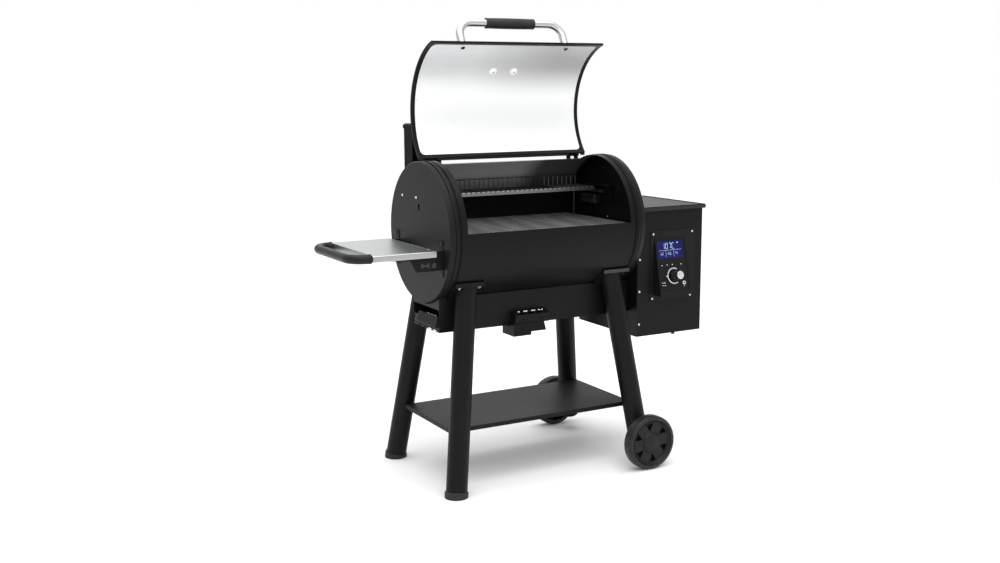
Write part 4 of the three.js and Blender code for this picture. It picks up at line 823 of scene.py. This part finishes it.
u_, w_, a_ = basis(PANEL_N)
o_ = Vector(panel(KX, KV, 0))
rings = [(0.6, [17.3] * nk), (1.2, [17.4] * nk), (4.0, [17.2] * nk), (5.0, [16.7] * nk), (6.0, flute(16.6, 0.0)), (8.0, flute(16.55, 0.6)), (31.0, flute(15.9, 0.6)), (34.0, flute(15.7, 0.35)), (35.4, [15.3] * nk), (36.0, [14.6] * nk)]
vs, fs = [], []
for h, rr in rings:
    for i in range(nk):
        t = 2 * math.pi * i / nk
        vs.append(o_ + a_ * h + (u_ * math.cos(t) + w_ * math.sin(t)) * rr[i])
for j in range(len(rings) - 1):
    for i in range(nk):
        i2 = (i + 1) % nk
        fs.append((j * nk + i, j * nk + i2, (j + 1) * nk + i2, (j + 1) * nk + i))
fs += [tuple(range(nk - 1, -1, -1)), tuple((len(rings) - 1) * nk + i for i in range(nk))]
b.add(vs, fs)
b.rod(panel(KX, KV, -11), panel(KX, KV, 0.8), 3.4, 16)
b.make("control_knob_grip", "knob_black", "knob", "knob_black", angle=40, rep=("control_knob",))
b = Build().lathe([(35.6, 0), (35.6, 15.0), (36.2, 15.2), (38.2, 15.2), (39.2, 14.7), (39.7, 13.6), (39.75, 12.4), (39.3, 11.6), (39.15, 4), (39.1, 0)], o_, PANEL_N, 56)
b.make("control_knob_cap", "silver", "knob", "stainless_tube")
b = Build()  # pointer on the cap
p0, p1 = o_ + a_ * 39.2, Vector((0, 0, 0))
dv = Vector((0, DOWN[0], DOWN[1]))
xv = Vector((1, 0, 0))
pd = (xv * -0.86 + dv * -0.5).normalized()
q = a_.cross(pd)
b.plate([(4.5, -0.7), (12.6, -0.5), (12.6, 0.5), (4.5, 0.7)], p0 - a_ * 0.15, pd, q, 0.5)
b.make("control_knob_pointer", "hole", "knob", "knob_black")
# buttons: domed caps
for i, bx in enumerate((500, 524, 548, 589)):
    b = Build().lathe([(-6.8, 0), (-6.8, 2.9), (-0.5, 2.9), (-0.15, 2.6), (-0.05, 1.9), (-0.05, 0)], panel(bx, 107, 0), PANEL_N, 28)
    b.make(f"button_{i + 1}_cap", "face_gloss", f"button_{i + 1}", "white_button", rep=(f"button_{i + 1}",))
    b = Build().lathe([(-0.6, 0), (-0.6, 1.75), (0.15, 1.75), (0.32, 1.4), (0.38, 0)], panel(bx, 107, 0), PANEL_N, 24)
    b.make(f"button_{i + 1}_dot", "white_button", f"button_{i + 1}", "white_button")

# display characters: seven-segment figures
SEG = {"C": "afed", "0": "abcdef", "1": "bc", "2": "abged", "4": "fgbc", "5": "afgcd", "6": "afgcde", "7": "abc", "8": "abcdefg", "9": "abcdfg"}


def figures(b, text, x, v, w, h, t, lean=0.08, gap=0.35):
    for ch in text:
        def P(px, pv):
            return (x + px * w + (1 - pv) * h * lean, v + pv * h)
        e = t / 2
        a = {
            "a": ((0, 0), (1, 0)), "g": ((0, 0.5), (1, 0.5)), "d": ((0, 1), (1, 1)),
            "f": ((0, 0), (0, 0.5)), "e": ((0, 0.5), (0, 1)), "b": ((1, 0), (1, 0.5)), "c": ((1, 0.5), (1, 1)),
        }
        for s in SEG.get(ch, ""):
            (x0, v0), (x1, v1) = P(*a[s][0]), P(*a[s][1])
            dx, dv_ = x1 - x0, v1 - v0
            l_ = math.hypot(dx, dv_)
            dx, dv_ = dx / l_, dv_ / l_
            nx, nv = -dv_, dx
            g_ = t * 0.62
            poly = [(x0 + dx * g_, v0 + dv_ * g_), (x0 + dx * (g_ + e) + nx * e, v0 + dv_ * (g_ + e) + nv * e),
                    (x1 - dx * (g_ + e) + nx * e, v1 - dv_ * (g_ + e) + nv * e), (x1 - dx * g_, v1 - dv_ * g_),
                    (x1 - dx * (g_ + e) - nx * e, v1 - dv_ * (g_ + e) - nv * e), (x0 + dx * (g_ + e) - nx * e, v0 + dv_ * (g_ + e) - nv * e)]
            panel_plate(b, poly, -1.17, 0.12)
        x += w * (1 + gap) + t
    return x


b = Build()
figures(b, "107C", 511, 24, 9.2, 21.5, 1.25, gap=0.48)
panel_plate(b, [(580, 23), (583.5, 21.5), (586, 24), (582.5, 26.6)], -1.17, 0.12)
panel_plate(b, [(496, 51.0), (598, 50.2), (598, 50.8), (496, 51.6)], -1.17, 0.12)
for x0, x1 in ((525.5, 526.1), (562, 562.6)):
    panel_plate(b, [(x0, 52), (x1, 52), (x1, 76), (x0, 76)], -1.17, 0.12)
figures(b, "62", 502, 59, 4.2, 9.4, 0.7, gap=0.6)
figures(b, "125", 530, 59, 4.2, 9.4, 0.7, gap=0.6)
figures(b, "74", 568, 59, 4.2, 9.4, 0.7, gap=0.6)
b.make("display_figures", "digit", F, "white_button")

# ---------------------------------------------------------------- wheels, feet
WX, WR = 368.0, 101.5
for tag, sy in (("front", -1), ("rear", 1)):
    ax = Vector((0, sy, 0))
    o = Vector((WX, sy * 338.0, WR))
    # tyre: rounded tread band with shoulders and a groove beside the rim
    prof = [(-22.6, 84.5), (-23.4, 88), (-22.8, 93.5), (-20.4, 98.4), (-16.5, 100.7), (-10, 101.35), (-9.4, 100.7), (-8.2, 100.7), (-7.6, 101.4), (0, 101.46),
            (7.6, 101.4), (8.2, 100.7), (9.4, 100.7), (10, 101.35), (15.5, 100.5), (18.6, 98.3), (19.4, 97.6), (20.4, 97.9), (22.6, 94.8), (23.4, 90.5),
            (22.9, 86.6), (21.2, 85.2), (19.0, 84.9), (16, 84.2), (10, 84.0), (-16, 84.0)]
    Build().lathe(prof, o, ax, 128).make(f"wheel_{tag}_tyre", "tyre", f"wheel_{tag}", "wheel_plastic", angle=40)
    # moulded rim: dish with six openings, domed hub
    seg_n = 144
    holes = []
    for i in range(6):
        holes.append((rad(60 * i + (37 if sy < 0 else 23)), 1))
    bm = bmesh.new()
    radii = [0, 6, 12, 18, 24, 29, 33, 36, 39, 42, 45.5, 49, 52.5, 56, 59.5, 63, 66.5, 70, 73, 76, 79, 81.5, 83.4]

    def face_h(r):  # height of the outer face above the wheel's middle plane
        if r <= 36:
            return 19.5 + 5.6 * math.cos(math.pi / 2 * (r / 36.0)) ** 0.8 if r < 36 else 17.5
        if r <= 42:
            return 13.4 + 0.6 * (42 - r) / 6
        if r <= 76:
            return 13.0
        if r <= 79:
            return 13.0 + (r - 76) * 1.6
        return 17.8 + (r - 79) * 0.9

    def is_hole(r, t):
        for c, sgn in holes:
            d = (t - c + math.pi) % (2 * math.pi) - math.pi
            if 47 <= r <= 72.5:
                share = (r - 47) / 25.5
                half = (3 + 12.0 * share) if sgn > 0 else (3 + 12.0 * (1 - share))
                if abs(d) * r <= half:
                    return True
        return False

    u, w, a = basis(ax)
    # front and back skins share the same openings
    grid = {}
    for side, off in (("f", 0.0), ("b", -7.0)):
        for ri, r in enumerate(radii):
            for k in range(seg_n if r else 1):
                t = 2 * math.pi * k / seg_n
                h = face_h(r) + off
                if side == "b":
                    h = min(h, 7.0) if r > 42 else h
                p = o + a * h + (u * math.cos(t) + w * math.sin(t)) * r
                grid[side, ri, k] = bm.verts.new(((p.x + SX) / 1000, p.y / 1000, p.z / 1000))
    solid = {}
    for ri in range(len(radii) - 1):
        rm = (radii[ri] + radii[ri + 1]) / 2
        for k in range(seg_n):
            tm = 2 * math.pi * (k + 0.5) / seg_n
            solid[ri, k] = not is_hole(rm, tm)
    for (ri, k), ok in solid.items():
        if not ok:
            continue
        k2 = (k + 1) % seg_n
        for side in ("f", "b"):
            if ri == 0:
                q = [grid[side, 0, 0], grid[side, 1, k], grid[side, 1, k2]]
            else:
                q = [grid[side, ri, k], grid[side, ri + 1, k], grid[side, ri + 1, k2], grid[side, ri, k2]]
            bm.faces.new(q if side == "f" else q[::-1])
        # walls of the openings and the outer rim
        if ri + 1 == len(radii) - 1 or not solid[ri + 1, k]:
            bm.faces.new([grid["f", ri + 1, k], grid["b", ri + 1, k], grid["b", ri + 1, k2], grid["f", ri + 1, k2]])
        if ri > 0 and not solid[ri - 1, k]:
            bm.faces.new([grid["f", ri, k2], grid["b", ri, k2], grid["b", ri, k], grid["f", ri, k]])
        if not solid[ri, k2] and ri:
            bm.faces.new([grid["f", ri, k2], grid["f", ri + 1, k2], grid["b", ri + 1, k2], grid["b", ri, k2]])
        if not solid[ri, (k - 1) % seg_n] and ri:
            bm.faces.new([grid["f", ri + 1, k], grid["f", ri, k], grid["b", ri, k], grid["b", ri + 1, k]])
    bmesh.ops.delete(bm, geom=[v for v in bm.verts if not v.link_faces], context="VERTS")
    _object(bm, f"wheel_{tag}_rim", "wheel_plastic", f"wheel_{tag}", 40, 0, 0, (f"wheel_{tag}",))
    # painted shade: a near-black disc in the wheel's middle plane, seen dark through the six openings
    Build().lathe([(-1.5, 40), (-1.5, 83.6), (1.5, 83.6), (1.5, 40)], o, ax, 72).make(f"wheel_{tag}_painted_shade_disc", "hole", f"wheel_{tag}", "wheel_plastic", angle=40)
    # ribs and hub barrel on the inner side
    b = Build()
    b.lathe([(-23, 8.6), (-23, 21), (-21.5, 22.5), (6.5, 23.5), (6.5, 8.6)], o, ax, 48)
    for i in range(6):
        c = rad(60 * i + 47)
        d = u * math.cos(c) + w * math.sin(c)
        t_ = d.cross(a)
        q0, q1 = o + d * 22 + a * -16, o + d * 83 + a * -16
        vs = []
        for base_, hh in ((q0, 22.5), (q1, 22.5)):
            for s_ in (-1.3, 1.3):
                vs += [base_ + t_ * s_, base_ + t_ * s_ + a * hh]
        b.add(vs, [(0, 1, 3, 2), (4, 6, 7, 5), (0, 4, 5, 1), (2, 3, 7, 6), (0, 2, 6, 4), (1, 5, 7, 3)])
    b.make(f"wheel_{tag}_hub", "wheel_plastic", f"wheel_{tag}", "wheel_plastic", angle=40)
    # stub axle: collar and nut behind the wheel
    b = Build()
    b.rod(Vector((WX, sy * 214, WR)), Vector((WX, sy * 352, WR)), 7.8, 32, 0.8)
    b.lathe([(0, 7.0), (0, 13.2), (0.8, 14), (26.6, 14), (27.4, 13.2), (27.4, 7.0)], Vector((WX, sy * 286.6, WR)), ax, 40)
    b.make(f"axle_{tag}_stub", "black_plastic", F, "black_plastic", rep=(f"axle_{tag}",))

for node, sy in (("foot_front_left", -1), ("foot_rear_left", 1)):
    lo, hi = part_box(node)
    leg_lo, leg_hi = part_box(node.replace("foot", "leg"))
    lean = Vector((91.5 / 690, -sy * 92 / 690, 1)).normalized()
    base = Vector((-396.0, sy * 260.0, 0.0))
    # ribbed cap, cut flat by the ground
    nn = 72
    rows = [(0.0, 39.2), (0.8, 40.6), (3.0, 41.4), (8.0, 41.7), (9.2, 41.0), (10.6, 41.0), (11.6, 41.7), (15.4, 41.7), (16.4, 41.0), (17.8, 41.0), (18.8, 41.7), (22.6, 41.6), (24.4, 40.9), (25.2, 39.8), (25.2, 38.4)]
    uu, ww, _a = basis(lean)
    vs, fs = [], []
    for h, r in rows:
        for k in range(nn):
            t = 2 * math.pi * k / nn
            p = base + lean * (h - 6) + (uu * math.cos(t) + ww * math.sin(t)) * r
            if h < 9 or p.z < h * 0.85:
                p.z = max(p.z, 0) * (0.25 + 0.75 * h / 9) if h < 9 else p.z
            p.z = max(p.z, h * 0.22 if h < 8 else 0.0)
            vs.append(p)
    for j in range(len(rows) - 1):
        for k in range(nn):
            k2 = (k + 1) % nn
            fs.append((j * nn + k, j * nn + k2, (j + 1) * nn + k2, (j + 1) * nn + k))
    fs += [tuple(range(nn - 1, -1, -1)), tuple((len(rows) - 1) * nn + k for k in range(nn))]
    Build().add(vs, fs).make(node + "_cap", "black_rubber", F, "black_rubber", angle=50, rep=(node,))

# ---------------------------------------------------------------- side shelf handle
SH_Y, SH_X, SH_Z, SH_R = 180.0, -728.0, 846.0, 15.9
x_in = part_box("side_shelf")[0].x * 1000 - SX - 0.4
path = dense(fillet([(x_in, -SH_Y, SH_Z), (SH_X, -SH_Y, SH_Z), (SH_X, SH_Y, SH_Z), (x_in, SH_Y, SH_Z)], 58, 18), 12)
b = Build().sweep(path, SH_R, 44)
for sy in (-1, 1):
    b.lathe([(0, 10), (0, 16.3), (0.7, 16.6), (5.0, 16.6), (6.0, 16.2), (6.0, 10)], (x_in, sy * SH_Y, SH_Z), (-1, 0, 0), 44)
    b.rod((x_in - 4, sy * SH_Y, SH_Z), (x_in + 9, sy * SH_Y, SH_Z), 5.4, 20)
b.make("shelf_handle_bar", "black_plastic", F, "black_plastic", angle=50, rep=("shelf_handle",))

# ---------------------------------------------------------------- bolts on the stand and the small trays
# the same bolts are drawn in bright zinc on the left and near-black on the right: painted light and shade by side
for sx, mat, tag in ((-1, "screw", "left"), (1, "screw_dark", "right")):
    b, k = Build(), Build()
    for sy in (-1, 1):
        for dx in (-38.0, 38.0):
            n_ = Vector((0, sy * 0.69, -0.72)).normalized()
            at = (sx * 306 + (9 if sx < 0 else 3) + dx, sy * 183.3, 716.0)
            b.head(at, n_, 4.5, 3.2, "hexhead", sink=2.0)
            k.lathe([(-2.0, 0), (-2.0, 6.2), (0.6, 6.2), (0.9, 5.9), (0.9, 0)], at, n_, 28)
    b.make(f"saddle_bolts_{tag}", mat, F, "stainless_tube")
    k.make(f"saddle_washers_{tag}", mat, F, "stainless_tube")

# painted highlights: small bright bars in the slots of the ash cowl and along the lip of the grease tray
b = Build()
for x0, x1 in ((-87, -79), (-64, -47), (-31, -14), (-2, 6), (11, 18)):
    b.box(x0, x1, -152.5, -147.0, 604.2, 608.0)
b.make("ash_cowl_slot_painted_highlights", "screw", F, "stainless_tube", bevel=0.3)
b = Build()
for y in (-104, -76, -48):
    b.box(-392.4, -390.4, y - 9, y + 9, 613.4, 617.0)
b.make("grease_tray_lip_painted_highlights", "rack_wire", "grease_tray", "stainless_tube", bevel=0.5)

# turned-up front edges of the right saddles, drawn in a lighter copy of the powder coat as painted light on the lit
# edge
b = Build()
for node in ("saddle_front_right", "saddle_rear_right"):
    lo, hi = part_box(node)
    y = lo.y * 1000 if "front" in node else hi.y * 1000
    s_ = -1 if "front" in node else 1
    b.box(lo.x * 1000 - SX + 1.0, hi.x * 1000 - SX - 1.0, min(y + s_ * 0.5, y - s_ * 1.0), max(y + s_ * 0.5, y - s_ * 1.0), 724.2, 736.9)
b.make("saddle_front_edges_painted_light", "flange_painted_light", F, "black_hardware", bevel=0.4)

# raised border on the hopper lid
lo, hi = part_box("hopper_lid")
x0, x1, y0, y1, zt = lo.x * 1000 - SX + 1.5, hi.x * 1000 - SX - 1.5, lo.y * 1000 + 1.5, 198.0, hi.z * 1000
b = Build()
b.box(x0, x1, y0, y0 + 3.2, zt - 1.5, zt + 2.4).box(x1 - 3.2, x1, y0 + 3.3, y1, zt - 1.5, zt + 2.4).box(x0, x0 + 3.2, y0 + 3.3, y1, zt - 1.5, zt + 2.4)
b.make("hopper_lid_border", "black_hardware", "hopper_lid", "black_powder_coat", bevel=0.7)

# ---------------------------------------------------------------- stage, light, camera
def stage():
    bm = bmesh.new()
    r, n = 14.0, 96
    c = bm.verts.new((0, 0, 0))
    ring = [bm.verts.new((r * math.cos(2 * math.pi * i / n), r * math.sin(2 * math.pi * i / n), 0)) for i in range(n)]
    for i in range(n):
        bm.faces.new((c, ring[i], ring[(i + 1) % n]))
    me = bpy.data.meshes.new("floor")
    bm.to_mesh(me)
    bm.free()
    o = bpy.data.objects.new("floor", me)
    o.location = (0, 0, -0.0004)
    bpy.context.scene.collection.objects.link(o)
    m = Mat("floor_pale")
    cloud = m.noise(0.8, 2.0, 0.5)
    m.set(Base_Color=m.mix(m.remap(cloud, 0.3, 0.7, 0, 1), (0.90, 0.90, 0.90), (0.92, 0.92, 0.92)), Roughness=0.75)
    m.b.inputs["Specular IOR Level"].default_value = 0.15
    me.materials.append(m.m)


stage()


def area(name, loc, aim, sx, sy, power, color=(1, 1, 1), spread=180):
    l = bpy.data.lights.new(name, "AREA")
    l.shape = "RECTANGLE"
    l.size, l.size_y, l.energy, l.color = sx, sy, power, color
    l.spread = rad(spread)
    o = bpy.data.objects.new(name, l)
    o.location = loc
    o.rotation_euler = (Vector(aim) - Vector(loc)).to_track_quat("-Z", "Y").to_euler()
    bpy.context.scene.collection.objects.link(o)
    return o


area("top_box", (-0.4, -0.3, 4.4), (0, 0, 0), 5.0, 4.4, 110)
area("front_high", (-1.6, -4.2, 4.0), (0, 0, 1.0), 3.4, 1.6, 40)
area("back_high", (1.2, 4.0, 3.0), (0, 0, 0.8), 3.6, 1.4, 20)
sun = bpy.data.lights.new("sky_wide", "SUN")
sun.energy, sun.angle = 1.0, rad(70)
sun_o = bpy.data.objects.new("sky_wide", sun)
sun_o.rotation_euler = (rad(14), rad(-10), 0)
bpy.context.scene.collection.objects.link(sun_o)

world = bpy.data.worlds.new("studio")
bpy.context.scene.world = world
world.use_nodes = True
nt = world.node_tree
nt.nodes.clear()
wo = nt.nodes.new("ShaderNodeOutputWorld")
bgl = nt.nodes.new("ShaderNodeBackground")
bgc = nt.nodes.new("ShaderNodeBackground")
mixs = nt.nodes.new("ShaderNodeMixShader")
lp = nt.nodes.new("ShaderNodeLightPath")
tc = nt.nodes.new("ShaderNodeTexCoord")
sp = nt.nodes.new("ShaderNodeSeparateXYZ")
mr = nt.nodes.new("ShaderNodeMapRange")
nt.links.new(tc.outputs["Generated"], sp.inputs[0])
nt.links.new(sp.outputs[2], mr.inputs["Value"])
mr.inputs["From Min"].default_value = 0.0
mr.inputs["From Max"].default_value = 0.9
mr.inputs["To Min"].default_value = 0.80
mr.inputs["To Max"].default_value = 0.95
nt.links.new(mr.outputs[0], bgl.inputs["Strength"])
bgl.inputs["Color"].default_value = (1, 1, 1, 1)
bgc.inputs["Color"].default_value = (1, 1, 1, 1)
bgc.inputs["Strength"].default_value = 1.0
nt.links.new(lp.outputs["Is Camera Ray"], mixs.inputs[0])
nt.links.new(bgl.outputs[0], mixs.inputs[1])
nt.links.new(bgc.outputs[0], mixs.inputs[2])
nt.links.new(mixs.outputs[0], wo.inputs[0])
bpy.context.scene.view_settings.view_transform = "Standard"

cam_data = bpy.data.cameras.new("camera")
cam = bpy.data.objects.new("camera", cam_data)
bpy.context.scene.collection.objects.link(cam)
AZ, EL, ROLL = rad(-28.90), rad(9.58), rad(-0.30)
back = Vector((math.sin(AZ) * math.cos(EL), -math.cos(AZ) * math.cos(EL), math.sin(EL)))
right = (-back).cross(Vector((0, 0, 1))).normalized()
up = right.cross(-back).normalized()
r2 = right * math.cos(ROLL) + up * math.sin(ROLL)
u2 = -right * math.sin(ROLL) + up * math.cos(ROLL)
cam.matrix_world = Matrix.Translation((SX / 1000 - 2.1146, -3.69441, 1.40634)) @ Matrix((r2, u2, back)).transposed().to_4x4()
cam_data.sensor_width = 36.0
cam_data.lens = 41.62
cam_data.clip_start, cam_data.clip_end = 0.05, 60.0
bpy.context.scene.camera = cam

bpy.context.view_layer.update()
